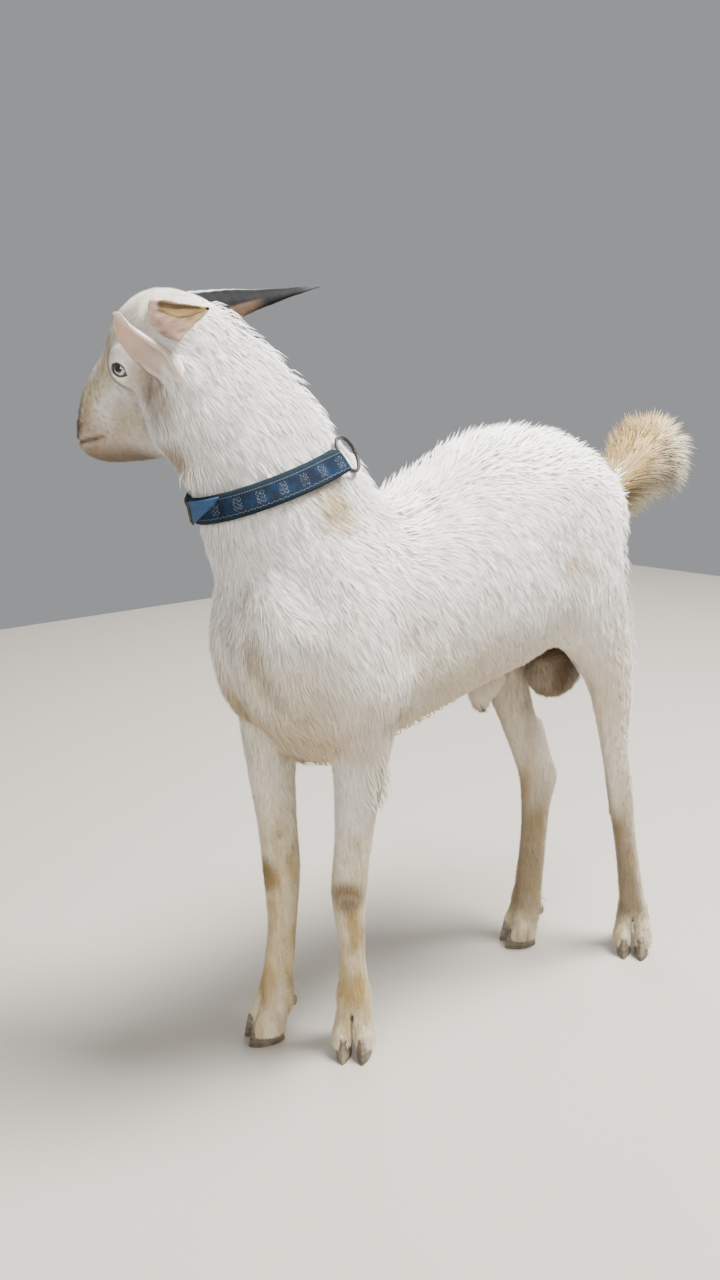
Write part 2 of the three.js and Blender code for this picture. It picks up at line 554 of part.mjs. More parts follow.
const half = COLLAR.width / 2, swell = (a) => COLLAR.thick
  + COLLAR.pocket * max(0, 1 - min(COLLAR.from - a, a - COLLAR.to) / COLLAR.pocketLength);
add('collar_strap', shell(solid(strap(COLLAR.from, COLLAR.to, 33, () => -half, () => half, 0, swell))
  .subtract(solid(ringBody(GAP)))), 0x24567c, 0.85);
add('collar_ring', ringBody(), 0x3a3836, 0.45, 1);
const layer = [COLLAR.thick + COLLAR.layer, () => COLLAR.thick + COLLAR.over];
add('collar_wrap', strap(...WRAP_SPAN, 6, () => -half, () => half - 3, ...layer), 0x4a3628, 0.9);
add('collar_fold', strap(...FOLD_SPAN, 7, (t) => half - 3 - FOLD_DEPTH * t ** 0.8, () => half - 2, ...layer),
  0x2d5c8c, 0.85);

// The origin is on the floor, under the middle of the goat's length and width.
const whole = new THREE.Box3().setFromObject(group), middle = whole.getCenter(V());
for (const mesh of group.children) mesh.geometry.translate(-middle.x, -middle.y, -whole.min.z);
export default group;
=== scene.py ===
"""A young male goat at life size, standing still with its head turned to its right.

The flesh is one skin, drawn round smooth masses that run into each other. The coat is made of
thin solid locks that lie along the skin. Eyes, horns, hooves and the collar are pieces of
their own. Sizes are worked out in millimetres and put into the meshes in metres.
"""
import math

import bpy
import numpy as np
from mathutils import Matrix, Vector


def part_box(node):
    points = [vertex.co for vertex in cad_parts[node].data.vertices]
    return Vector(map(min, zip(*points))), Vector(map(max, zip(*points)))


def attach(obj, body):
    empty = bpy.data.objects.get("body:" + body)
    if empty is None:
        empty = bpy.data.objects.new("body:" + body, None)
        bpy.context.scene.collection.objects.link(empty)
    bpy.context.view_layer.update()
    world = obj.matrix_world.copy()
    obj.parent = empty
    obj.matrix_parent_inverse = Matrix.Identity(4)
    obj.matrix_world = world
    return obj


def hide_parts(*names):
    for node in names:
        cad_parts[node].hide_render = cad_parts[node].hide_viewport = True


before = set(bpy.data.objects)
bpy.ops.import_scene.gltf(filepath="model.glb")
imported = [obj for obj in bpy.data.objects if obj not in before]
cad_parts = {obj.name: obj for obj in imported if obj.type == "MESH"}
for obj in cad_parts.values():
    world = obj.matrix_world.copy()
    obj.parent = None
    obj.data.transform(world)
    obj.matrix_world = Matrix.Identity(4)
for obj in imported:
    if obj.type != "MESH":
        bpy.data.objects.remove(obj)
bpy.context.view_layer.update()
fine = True
rng = np.random.default_rng(7)

# ---------------------------------------------------------------- head frame and camera
# The head has its own frame: its origin is on the poll between the horns, and a place on it
# is told by how far forward, out to the goat's left and up it is, in millimetres. The near
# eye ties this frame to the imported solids. The camera stands low in front and to the left.
POLL = np.array([-311.0, 35.0, 911.0])
HEAD_TURN, HEAD_ROLL = math.radians(43), math.radians(9)
FORWARD = np.array([-math.cos(HEAD_TURN), math.sin(HEAD_TURN), 0.0])
SIDEWAYS = np.array([-math.sin(HEAD_TURN), -math.cos(HEAD_TURN), 0.0])
OUT = SIDEWAYS * math.cos(HEAD_ROLL) - np.array([0, 0, math.sin(HEAD_ROLL)])
UP = np.cross(FORWARD, OUT)
HEAD_AXES = np.array([FORWARD, OUT, UP])


def head(forward, left, up):
    """Head-frame millimetres to the goat's millimetres: the poll plus the three steps."""
    return POLL + np.stack(np.broadcast_arrays(forward, left, up), -1) @ HEAD_AXES


def on_head(p):
    """The other way about: how far forward, left and up on the head each point is."""
    return ((p - POLL) @ HEAD_AXES.T).T


EYE_AT, EYE_RADIUS = (50, 40, -74), 12.0
low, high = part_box("eye_left")
ORIGIN = (np.array(low) + np.array(high)) / 2 - head(*EYE_AT) / 1000


def metres(points):
    """The goat's millimetres to the frame's metres."""
    return np.asarray(points) / 1000 + ORIGIN


camera = bpy.data.objects.new("camera", bpy.data.cameras.new("camera"))
bpy.context.scene.collection.objects.link(camera)
CAMERA_AT, CAMERA_YAW = (-766.3, -948.9, 783.0), math.radians(34)
CAMERA_PITCH, CAMERA_ROLL = math.radians(13), math.radians(2.3)
heading = np.array([math.sin(CAMERA_YAW), math.cos(CAMERA_YAW), 0])
level = np.array([math.cos(CAMERA_YAW), -math.sin(CAMERA_YAW), 0])
looking = heading * math.cos(CAMERA_PITCH) - np.array([0, 0, math.sin(CAMERA_PITCH)])
upright = np.cross(level, looking)
right = level * math.cos(CAMERA_ROLL) - upright * math.sin(CAMERA_ROLL)
above = level * math.sin(CAMERA_ROLL) + upright * math.cos(CAMERA_ROLL)
placed = np.eye(4)
placed[:3, :3] = np.stack([right, above, -looking], 1)
placed[:3, 3] = metres(CAMERA_AT)
camera.matrix_world = Matrix(placed.tolist())
camera.data.sensor_width, camera.data.lens = 36, 28.125
camera.data.clip_start, camera.data.clip_end = 0.05, 60
bpy.context.scene.camera = camera

# ---------------------------------------------------------------- the flesh
# The real body is bone and muscle under a loose skin. Each muscle mass is a function of
# points that is about the distance to its surface, negative inside. Neighbours are blended
# over a width, and the skin is drawn where the whole is zero, less the depth of the coat.
REACH = 60.0         # a chain tells exact distances up to this far off
FINE_BAND = 11       # how near the skin the fine grid is worked out


def ease(x, start, end):
    """0 before the start and 1 past the end, with a smooth run between."""
    t = np.clip((x - start) / (end - start), 0, 1)
    return t * t * (3 - 2 * t)


def blended(a, b, width):
    """The smaller of two distances, rounded off by a parabola where they are close."""
    h = np.maximum(width - np.abs(a - b), 0) / width
    return np.minimum(a, b) - h * h * width / 4


def unit(v):
    """Vectors of length one."""
    return v / np.maximum(np.linalg.norm(v, axis=-1, keepdims=True), 1e-9)


def smooth_line(stations, spans=4):
    """Points on the line through the stations: a cubic on each span, whose end slopes weigh
    the neighbouring spans by the square root of their lengths."""
    p = np.asarray(stations, float)
    p = np.vstack([2 * p[0] - p[1], p, 2 * p[-1] - p[-2]])
    a, b, c, d = p[:-3], p[1:-2], p[2:-1], p[3:]
    ta, tb, tc = [np.sqrt(np.linalg.norm(e, axis=1))[:, None] for e in (b - a, c - b, d - c)]
    m1 = ((b - a) / ta - (c - a) / (ta + tb) + (c - b) / tb) * tb
    m2 = ((c - b) / tb - (d - b) / (tb + tc) + (d - c) / tc) * tb
    t = (np.arange(spans) / spans)[None, :, None]
    b, c, m1, m2 = b[:, None], c[:, None], m1[:, None], m2[:, None]
    cubic = b + m1 * t + (3 * c - 3 * b - 2 * m1 - m2) * t**2 + (2 * b - 2 * c + m1 + m2) * t**3
    return np.vstack([cubic.reshape(-1, p.shape[1]), p[-2]])


def run_along(points):
    """The length of a line up to each of its points."""
    return np.concatenate([[0], np.cumsum(np.linalg.norm(np.diff(points, axis=0), axis=1))])


def smooth_sizes(sizes, spans=4):
    """Sizes between the stations: a cubic with evenly weighted slopes, level at both ends."""
    s = np.asarray(sizes, float)
    s = np.vstack([s[:1], s, s[-1:]])
    a, b, c, d = [q[:, None] for q in (s[:-3], s[1:-2], s[2:-1], s[3:])]
    t = (np.arange(spans) / spans)[None, :, None]
    cubic = 0.5 * (2 * b + (c - a) * t + (2 * a - 5 * b + 4 * c - d) * t**2
                   + (3 * b - a - 3 * c + d) * t**3)
    return np.vstack([cubic.reshape(-1, s.shape[1]), s[-2]])


def chain(stations, across=(0, 1, 0), bend=None):
    """Distance to a run of oval sections on a smooth line through the stations. A station is
    x, y, z, radius along the depth and radius across; each link is a stretched cone."""
    s = np.asarray(stations, float)
    line, size = smooth_line(s[:, :3]), smooth_sizes(s[:, 3:])
    step = line[1:] - line[:-1]
    length = np.linalg.norm(step, axis=1)
    axis = step / length[:, None]
    side = np.tile(np.asarray(across, float), (len(axis), 1))
    if bend is not None:
        a = bend((np.arange(len(axis)) + 0.5) / len(axis))
        x, y = side[:, 0].copy(), side[:, 1].copy()
        side[:, 0], side[:, 1] = x * np.cos(a) - y * np.sin(a), x * np.sin(a) + y * np.cos(a)
    side = unit(side - axis * (side * axis).sum(1, keepdims=True))
    deep = np.cross(axis, side)
    room = size.max(1)[:, None]
    low, high = (line - room).min(0), (line + room).max(0)

    def distance(p):
        away = np.linalg.norm(np.maximum(low - p, 0) + np.maximum(p - high, 0), axis=1)
        near = away <= REACH
        q, best = p[near], np.full(near.sum(), 1e9)
        for i in range(len(axis)):
            r = q - line[i]
            along = r @ axis[i]
            t = np.clip(along / length[i], 0, 1)
            rd = size[i, 0] + (size[i + 1, 0] - size[i, 0]) * t
            rw = size[i, 1] + (size[i + 1, 1] - size[i, 1]) * t
            cap = np.minimum(rd, rw)
            u, v, w = (r @ side[i]) / rw, (r @ deep[i]) / rd, (along - t * length[i]) / cap
            k0 = np.sqrt(u * u + v * v + w * w)
            k1 = np.sqrt((u / rw) ** 2 + (v / rd) ** 2 + (w / cap) ** 2)
            best = np.minimum(best, np.where(k1 > 1e-9, k0 * (k0 - 1) / np.maximum(k1, 1e-9), -cap))
        away[near] = best
        return away
    return distance


def egg(centre, radii, axes=np.eye(3)):
    """Distance to an ellipsoid with its radii along three directions."""
    centre, radii = np.asarray(centre, float), np.asarray(radii, float)

    def distance(p):
        e = (p - centre) @ np.asarray(axes).T / radii
        k0, k1 = np.linalg.norm(e, axis=1), np.linalg.norm(e / radii, axis=1)
        return k0 * (k0 - 1) / np.maximum(k1, 1e-9)
    return distance


def head_egg(f, l, u, radii):
    """An egg told in the head's frame."""
    return egg(head(f, l, u), radii, HEAD_AXES)


def head_chain(stations):
    """A chain on the head's middle plane: forward, up, depth radius and width radius."""
    return chain([[*head(f, 0, u), deep, wide] for f, u, deep, wide in stations], OUT)


def joined(parts):
    """Masses blended one after another, each over its own width."""
    def distance(p):
        d = np.full(len(p), 1e3)
        for mass, width in parts:
            d = blended(d, mass(p), width)
        return d
    return distance


# Sections of the trunk from chest to rump (x, top, bottom, half width) and of the neck (x, y, z,
# half depth, half width). A leg has its side (-1 is the left), the half depth and half width at
# its joints, the place of its toes, how far the foot turns out in degrees, and its joints.
TRUNK = [[-246, 622, 470, 62], [-205, 648, 412, 86], [-150, 668, 394, 98], [-80, 674, 410, 104],
         [0, 704, 430, 112], [70, 739, 444, 115], [120, 749, 474, 108], [170, 738, 515, 94],
         [210, 716, 550, 72], [238, 684, 580, 48]]
NECK = [[-158, 0, 560, 112, 90], [-187, 0, 618, 109, 80], [-214, 1, 672, 103, 68],
        [-235, 5, 722, 89, 60], [-260, 13, 766, 84, 57], [-285, 24, 808, 79, 54],
        [-298, 34, 842, 62, 50]]
FORE_SIZES = [[52, 42], [33, 29], [26, 23], [25, 22.5], [19.5, 16.5], [22, 20]]
HIND_SIZES = [[63, 44], [33, 27], [26, 18.5], [25, 19], [21, 16], [22, 19.5]]
LEGS = {
    "fore_left": (-1, FORE_SIZES, (-190, -40), 50, [
        [-165, -66, 500], [-163, -44, 385], [-170, -34, 290], [-173, -24, 222], [-168, -17, 145],
        [-165, -12, 76]]),
    "fore_right": (1, FORE_SIZES, (-270, 84), 15, [
        [-200, 74, 500], [-215, 72, 385], [-212, 72, 290], [-210, 72, 228], [-214, 73, 145],
        [-226, 74, 66]]),
    "hind_left": (-1, HIND_SIZES, (259, -90), 40, [
        [164, -70, 555], [216, -77, 425], [238, -69, 325], [255, -64, 258], [273, -62, 165],
        [294, -60, 60]]),
    "hind_right": (1, HIND_SIZES, (146, 59), 22, [
        [142, 70, 545], [156, 58, 410], [183, 51, 320], [204, 49, 255], [202, 50, 165],
        [188, 50, 66]])}
KNEE, FETLOCK = 3, 5      # joints of a leg, counted from the top; a hind leg's knee is the hock
HOOF_LENGTH, HOOF_WIDTH, HOOF_SPREAD, HOOF_HEIGHT, HOOF_SLOPE = 48.0, 20.0, 11.8, 25.0, 0.32


def joint(name, number):
    """The middle of a leg's joint."""
    return np.array(LEGS[name][4][number], float)


def foot_frame(name):
    """The foot's forward and sideways directions, and the middle between its two claws."""
    side, _, toe, turn, _ = LEGS[name]
    turn = math.radians(turn)
    way = np.array([-math.cos(turn), side * math.sin(turn), 0])
    return way, np.cross(way, [0, 0, 1]), np.array([*toe, 0]) - way * HOOF_LENGTH / 2


def leg_mass(name):
    """A shaft of oval sections down to the fetlock, two digits, and the point of the hock."""
    leg_side, sizes, _, turn, line = LEGS[name]
    way, side, foot = foot_frame(name)

    def bend(t):
        x = np.clip((t - 0.1) / 0.5, 0, 1)
        return -leg_side * math.radians(turn) * x * x * (3 - 2 * x)
    parts = [(chain([[*j, *s] for j, s in zip(line, sizes)], bend=bend), 20)]
    fetlock = joint(name, FETLOCK)
    for s in (-1, 1):
        start, end = fetlock + side * s * 8, foot + side * s * HOOF_SPREAD - way * 4
        middle, hem = (start + np.array([end[0], end[1], 20])) / 2, end + side * s * 2.4
        parts.append((chain([[*start, 19, 14], [middle[0], middle[1], 48, 18.5, 13.5],
                             [hem[0], hem[1], 25, 21, 14], [end[0], end[1], 8, 19, 10]], side), 9))
    if sizes is HIND_SIZES:
        hock = joint(name, KNEE)
        parts.append((chain([[*(hock - way * back + [0, 0, up]), r, r * 0.8] for back, up, r in (
            (4, 84, 8), (17, 26, 9), (25, -4, 11), (9, -42, 10))]), 12))
    whole = joined(parts)

    def cleft_leg(p):
        aside = (p - foot) @ side
        return whole(p) + 6 * np.exp(-(aside / 2.6) ** 2) * ease(-p[:, 2], -66, -46)
    return cleft_leg


leg_masses = {name: leg_mass(name) for name in LEGS}
trunk_mass = joined(
    [(chain([[x, 0, (t + b) / 2, (t - b) / 2, half] for x, t, b, half in TRUNK]), 30)]
    + [(egg((x, s * y, z), radii), width) for s in (-1, 1) for x, y, z, radii, width in (
        (-185, 60, 540, (68, 46, 112), 40), (160, 54, 590, (72, 50, 104), 36),
        (-262, 36, 530, (32, 42, 84), 30))]
    + [(egg((-188, 8, 420), (52, 46, 36)), 30)])
neck_mass = chain(NECK)
head_mass = joined([
    (head_egg(18, 0, -54, (56, 46, 54)), 20),
    (head_chain([[28, -64, 42, 40], [60, -88, 38, 32], [90, -114, 31, 24], [105, -138, 23, 21]]), 20),
    (head_chain([[24, -128, 43, 34], [64, -144, 33, 26], [97, -155, 22, 19], [111, -154, 16, 15]]), 20),
    (head_egg(47, 35, -70, (22, 14, 20)), 14), (head_egg(47, -35, -70, (22, 14, 20)), 14)])
TAIL_START = [262, 0, 640]
dock_mass = chain([[*TAIL_START, 26, 22], [296, 0, 664, 17, 15], [326, 0, 688, 13, 12],
                   [352, 0, 706, 8, 8]])
scrotum_mass = egg((182, -7, 428), (39, 29, 34))
sheath_mass = chain([[70, 0, 440, 26, 16], [60, 0, 420, 20, 12], [58, 0, 402, 9, 7]])

# Ears: cupped leaves of thin gristle. Each is a curved sheet on a line from base to tip.
EAR_HALF = np.array([16, 24, 24, 20, 15, 9, 2.5])
EAR_CUP = np.array([2.5, 2.4, 1.8, 1.25, 1.05, 0.95, 0.8])
EAR_LINES = {
    1: [[-8, 30, -80], [-4, 54, -67], [2, 76, -52], [9, 95, -42], [16, 111, -29], [16, 127, -16]],
    -1: [[-14, 30, -76], [-14, 56, -78], [-12, 80, -74], [-9, 103, -68], [-5, 124, -60],
         [0, 142, -50]]}


def ear_frame(s):
    """Points on an ear's line with the ear's own directions there: along, opening and rim."""
    f, l, u = np.array(EAR_LINES[s], float).T
    line = smooth_line(head(f, s * l, u), 8)
    axis = unit(np.gradient(line, axis=0))
    opening = head(0.05, s * 0.8, -0.6) - POLL
    opening = unit(opening - axis * (axis @ opening)[:, None])
    return line, axis, opening, np.cross(axis, opening)


def ear_place(p, s):
    """For points near an ear: how far along it is the nearest station (0 to 1), the offset
    along it, and the distances towards the rim and the opening."""
    line, axis, opening, rim = ear_frame(s)
    near = np.argmin(((p[:, None] - line[None]) ** 2).sum(2), 1)
    r = p - line[near]
    along = (r * axis[near]).sum(1)
    spacing = np.linalg.norm(np.gradient(line, axis=0), axis=1)[near]
    t = (near + np.clip(along / spacing, -0.5, 0.5)) / (len(line) - 1)
    end = np.where((near == 0) | (near == len(line) - 1), along, 0)
    return t, end, (r * rim[near]).sum(1), (r * opening[near]).sum(1)


def ear_section(t):
    """Half the angle that an ear's section spans and the radius of its arc, by the run."""
    knots = np.linspace(0, 1, len(EAR_HALF))
    cup = np.interp(t, knots, EAR_CUP)
    return cup, np.interp(t, knots, EAR_HALF) / cup


def ear_mass(s):
    """Distance to the curved sheet: to the circle of its section inside the sheet's arc, and
    to the arc's end beyond it, less half the thickness."""
    f, l, u = np.array(EAR_LINES[s], float).T
    room = head(f, s * l, u)
    low, high = room.min(0) - 30, room.max(0) + 30

    def distance(p):
        away = np.linalg.norm(np.maximum(low - p, 0) + np.maximum(p - high, 0), axis=1) + 6
        near = away <= 6
        if near.any():
            t, end, x, y = ear_place(p[near], s)
            cup, r = ear_section(t)
            angle = np.arctan2(x, r - y)
            edge = np.clip(angle, -cup, cup)
            d = np.sqrt((x - r * np.sin(edge)) ** 2 + (y - r + r * np.cos(edge)) ** 2
                        + np.maximum(np.abs(end) - 2, 0) ** 2)
            away[near] = d - np.interp(t, [0, 0.3, 1], [3.6, 2.7, 1.8])
        return away
    return distance


ear_masses = {s: ear_mass(s) for s in (1, -1)}


def eye_frame(s):
    """An eye's centre and its own directions: straight out, forward along the slit, and up."""
    centre = head(EYE_AT[0], s * EYE_AT[1], EYE_AT[2])
    out = unit(head(0.28, s * 0.95, 0.06) - POLL)
    slit = head(0.84, -s * 0.22, 0.50) - POLL
    slit = unit(slit - out * (slit @ out))
    return centre, out, slit, np.cross(slit, out) * s


LID_HALF = (9.2, 5.8)     # half the length and half the height of the opening between the lids
FACE_REACH, LID_REACH = 140, 30
NOSTRIL_START, NOSTRIL_STEP = (128, 5, -126), (-8, 10, 7)


def nostril_gap(f, l, u):
    """Distance to the slit of a nostril, a short line that runs back and up from the nose."""
    (a, b, c), (i, j, k) = NOSTRIL_START, NOSTRIL_STEP
    t = np.clip(((f - a) * i + (l - b) * j + (u - c) * k) / (i * i + j * j + k * k), 0, 1)
    return np.sqrt((f - a - i * t) ** 2 + (l - b - j * t) ** 2 + (u - c - k * t) ** 2)


def nostril(f, l, u):
    """A slit pressed in, with a raised wing round it."""
    gap = nostril_gap(f, l, u)
    return 4.6 * np.exp(-(gap / 2.8) ** 2) - 1.6 * np.exp(-((gap - 5.5) / 2.4) ** 2)


# Hollows of the face on both sides, as places on the head, radii and depth. A negative depth
# is a rise: the brow, the cheek's edge and the fold of the lip.
DENTS = [((80, 32, -98), (18, 14, 18), 1.4), ((86, 26, -128), (18, 14, 12), 1.8),
         ((30, 46, -40), (18, 16, 10), 2.0), ((54, 40, -56), (13, 14, 6), -2.4),
         ((22, 38, -146), (26, 14, 20), -1.6), ((52, 34, -168), (26, 14, 9), 1.6),
         ((112, 10, -166), (12, 14, 8), -1.2)]


def mouth_gap(f, u):
    """Height over the line of the mouth."""
    return u + 144 + (f - 92) * 0.2


def down_nose(f, u):
    """How far down and forward along the nose."""
    return f * 0.62 - u * 0.78


def face_details(p, d):
    """Folds of the face, as small rises and falls of the distance round places on the head:
    nostrils, the line of the mouth with its lips, the brow and the cheek's edge, and round
    each eye a full lid with an almond opening that leaves room for the ball."""
    near = np.linalg.norm(p - head(50, 0, -90), axis=1) < FACE_REACH
    q = p[near]
    f, l, u = on_head(q)
    l = np.abs(l)
    e = d[near]
    mouth = mouth_gap(f, u) + 3 * ease(-f, -100, -88)
    inside = 1 / (1 + np.exp(-(f - 92) / 1.5))
    e = e + inside * (2.2 * np.exp(-(mouth / 1.7) ** 2) - 0.9 * np.exp(-((mouth - 4.5) / 3.5) ** 2)
                      - 1.0 * np.exp(-((mouth + 5) / 3.6) ** 2))
    e = e + 1.6 * np.exp(-(l / 1.8) ** 2) * ease(f, 112, 122) * ease(-u, 126, 131) * ease(u, -147, -141)
    e = e + nostril(f, l, u)
    for at, radii, depth in DENTS:
        e = e + depth * np.exp(-sum(((v - c) / r) ** 2 for v, c, r in zip((f, l, u), at, radii)))
    for s in (1, -1):
        centre, out, slit_way, lift = eye_frame(s)
        r = q - centre
        away = np.linalg.norm(r, axis=1)
        x, y, z = r @ slit_way, r @ lift, r @ out
        e = np.where(away < LID_REACH, blended(e, away - (EYE_RADIUS + 1.2), 11), e)
        fold = np.sqrt((x / 14.5) ** 2 + ((y - 0.5) / 11.0) ** 2)
        e = e + np.where((z > 0) & (away < LID_REACH), 0.5 * np.exp(-((fold - 1) / 0.10) ** 2), 0)
        almond = (np.sqrt((x / LID_HALF[0]) ** 2 + (y / LID_HALF[1]) ** 2) - 1) * LID_HALF[1]
        hole = np.maximum(np.where(z > 0, almond, 9.0), EYE_RADIUS - 5 - away)
        e = np.maximum(e, -hole)
    carried = d.copy()
    carried[near] = e
    return carried


# How far the coat's tips stand off the skin, by part of the body.
TRUNK_COAT, NECK_COAT, LEG_COAT, HEAD_COAT = 5.5, 6.0, 2.6, 2.2

# Soft hollows and rises of the body on both sides, as centre, radii and depth: in front of
# and behind the shoulder, between breast and shoulder, in the fold over each foreleg, over
# the ribs, in the flank, at the hip, stifle, thigh and elbow.
RELIEF = [((-232, 88, 610), (26, 40, 60), 5), ((-118, 104, 560), (16, 40, 80), 4),
          ((-284, 64, 500), (20, 13, 50), 8), ((-262, 84, 532), (18, 16, 24), 5),
          ((-296, 0, 500), (30, 12, 74), 6),
          ((-262, 62, 452), (26, 26, 14), 6), ((-140, 80, 446), (20, 36, 34), 4),
          ((-250, 86, 560), (26, 20, 30), -4), ((-166, 90, 640), (14, 30, 50), 3),
          ((-196, 96, 560), (40, 40, 60), -3), ((-206, 96, 480), (30, 30, 36), -4),
          ((-250, 40, 590), (24, 30, 60), 4), ((-160, 76, 690), (40, 30, 24), 3),
          ((92, 112, 610), (34, 40, 48), 7), ((140, 92, 690), (26, 30, 26), -4),
          ((186, 96, 600), (40, 40, 40), -3), ((128, 100, 500), (26, 36, 34), -4),
          ((196, 90, 520), (16, 40, 60), 3), ((60, 90, 480), (50, 40, 24), 3)]


def relief(p):
    """The rise and fall that the list gives at each point, the same on both sides."""
    q = np.stack([p[:, 0], np.abs(p[:, 1]), p[:, 2]], 1)
    total = np.zeros(len(p))
    for centre, radii, depth in RELIEF:
        total += depth * np.exp(-(((q - centre) / radii) ** 2).sum(1))
    return total


def flesh(p):
    """Distance to the skin: each mass drawn in by its coat's depth, then blended."""
    d = blended(trunk_mass(p) + TRUNK_COAT, neck_mass(p) + NECK_COAT, 30)
    for mass in leg_masses.values():
        d = blended(d, mass(p) + LEG_COAT, 18)
    d = d + relief(p)
    d = blended(d, dock_mass(p), 18)
    d = blended(d, scrotum_mass(p), 12)
    d = blended(d, sheath_mass(p), 12)
    d = blended(d, head_mass(p) + HEAD_COAT, 26)
    d = face_details(p, d)
    for s, ear in ear_masses.items():
        d = blended(d, head_egg(-8, s * 46, -84, (15, 14, 17))(p), 12)
        d = blended(d, ear(p), 7)
    return d


def axis_marks(low, high, dense_low, dense_high, dense, loose):
    """Marks along an axis whose spacing runs smoothly from loose to dense and back. Their
    count is one more than a multiple of four."""
    x = np.linspace(low, high, 2001)
    edge = 30
    inside = np.clip((x - dense_low + edge) / edge, 0, 1) * np.clip((dense_high + edge - x) / edge, 0, 1)
    count = np.concatenate([[0], np.cumsum(np.diff(x) / (loose + (dense - loose) * inside[1:]))])
    cells = int(np.ceil(count[-1] / 4)) * 4
    return np.interp(np.linspace(0, count[-1], cells + 1), count, x)


def spread(a, marks, rough, axis):
    """Values at rough marks carried linearly to the fine marks along one axis."""
    i = np.clip(np.searchsorted(rough, marks, "right") - 1, 0, len(rough) - 2)
    w = (marks - rough[i]) / (rough[i + 1] - rough[i])
    shape = [1, 1, 1]
    shape[axis] = -1
    w = w.reshape(shape).astype(np.float32)
    return a.take(i, axis) * (1 - w) + a.take(i + 1, axis) * w


def drawn_skin(field, xs, ys, zs):
    """Corners and four-sided faces of the surface where the field is zero. The field is worked
    out on a rough grid first, then on the fine grid near the surface only. Each cell that the
    surface crosses gets a corner at the mean of the crossings on its edges."""
    axes = (xs, ys, zs)
    rough = [m[::4] for m in axes]
    grid = np.stack(np.meshgrid(*rough, indexing="ij"), -1).reshape(-1, 3)
    value = field(grid).reshape([len(m) for m in rough]).astype(np.float32)
    for axis in range(3):
        value = spread(value, axes[axis], rough[axis], axis)
    band = np.abs(value) < FINE_BAND
    i, j, k = np.nonzero(band)
    value[band] = field(np.stack([xs[i], ys[j], zs[k]], 1))
    inside = value < 0
    n = np.array(value.shape)
    corners = [(a, b, c) for a in (0, 1) for b in (0, 1) for c in (0, 1)]
    views = [inside[a:n[0] - 1 + a, b:n[1] - 1 + b, c:n[2] - 1 + c] for a, b, c in corners]
    crossed = np.zeros(n - 1, bool)
    for v in views[1:]:
        crossed |= v != views[0]
    i, j, k = np.nonzero(crossed)
    number = np.full(n - 1, -1, np.int64)
    number[crossed] = np.arange(len(i))
    total, count = np.zeros((len(i), 3)), np.zeros(len(i))
    for a, b, c in corners:
        for axis in range(3):
            e = [a, b, c]
            if e[axis]:
                continue
            e[axis] = 1
            va, vb = value[i + a, j + b, k + c], value[i + e[0], j + e[1], k + e[2]]
            cross = (va < 0) != (vb < 0)
            t = np.where(cross, va / np.where(cross, va - vb, 1), 0)[:, None]
            pa = np.stack([xs[i + a], ys[j + b], zs[k + c]], 1)
            pb = np.stack([xs[i + e[0]], ys[j + e[1]], zs[k + e[2]]], 1)
            total += np.where(cross[:, None], pa + (pb - pa) * t, 0)
            count += cross
    faces = []
    for axis in range(3):
        first, second = (axis + 1) % 3, (axis + 2) % 3
        near = [slice(1, n[q] - 1) for q in range(3)]
        near[axis] = slice(0, n[axis] - 1)
        far = list(near)
        far[axis] = slice(1, n[axis])
        here, there = inside[tuple(near)], inside[tuple(far)]
        at = np.stack(np.nonzero(here != there), 1)
        way = here[tuple(at.T)]
        cell = at + [0 if q == axis else 1 for q in range(3)]
        ring = []
        for da, db in ((-1, -1), (0, -1), (0, 0), (-1, 0)):
            c = cell.copy()
            c[:, first] += da
            c[:, second] += db
            ring.append(number[tuple(c.T)])
        ring = np.stack(ring, 1)
        faces.append(np.where(way[:, None], ring, ring[:, ::-1]))
    return total / count[:, None], np.vstack(faces)


def evened(points, faces, rounds, keep=0.5):
    """Each corner moved part of the way to the mean of its neighbours, a few times."""
    a = np.concatenate([faces.ravel(), np.roll(faces, 1, 1).ravel()])
    b = np.concatenate([np.roll(faces, 1, 1).ravel(), faces.ravel()])
    count = np.bincount(a, minlength=len(points))[:, None]
    for _ in range(rounds):
        mean = np.stack([np.bincount(a, points[b, q], len(points)) for q in range(3)], 1) / count
        points = points * keep + mean * (1 - keep)
    return points


def pulled(points, field, step=0.4, furthest=3):
    """Each corner moved along the field's slope by the field's value there, up to a limit."""
    d = field(points)
    slope = np.stack([field(points + way * step) - d for way in np.eye(3)], 1) / step
    size = np.maximum((slope**2).sum(1), 0.3)
    move = -slope * (d / size)[:, None]
    length = np.linalg.norm(move, axis=1, keepdims=True)
    return points + move * np.minimum(1, furthest / np.maximum(length, 1e-9))


def corner_normals(points, faces):
    """Unit normals at corners, from the areas of the faces round them."""
    way = np.cross(points[faces[:, 2]] - points[faces[:, 0]], points[faces[:, 3]] - points[faces[:, 1]])
    total = np.stack([np.bincount(faces.ravel(), np.repeat(way[:, q], 4), len(points))
                      for q in range(3)], 1)
    return total / np.maximum(np.linalg.norm(total, axis=1, keepdims=True), 1e-12)


dense, loose = (2.4, 5.0) if fine else (3.4, 7.0)
skin_points, skin_faces = drawn_skin(
    flesh, axis_marks(-470, 375, -470, -250, dense, loose),
    axis_marks(-170, 160, -55, 140, dense, loose), axis_marks(-6, 930, 715, 930, dense, loose))
skin_points = pulled(evened(skin_points, skin_faces, 2), flesh)
skin_points = evened(skin_points, skin_faces, 1)
skin_points[:, 2] = np.maximum(skin_points[:, 2], 5)
skin_normals = corner_normals(skin_points, skin_faces)
print("skin", len(skin_points), len(skin_faces) * 2)

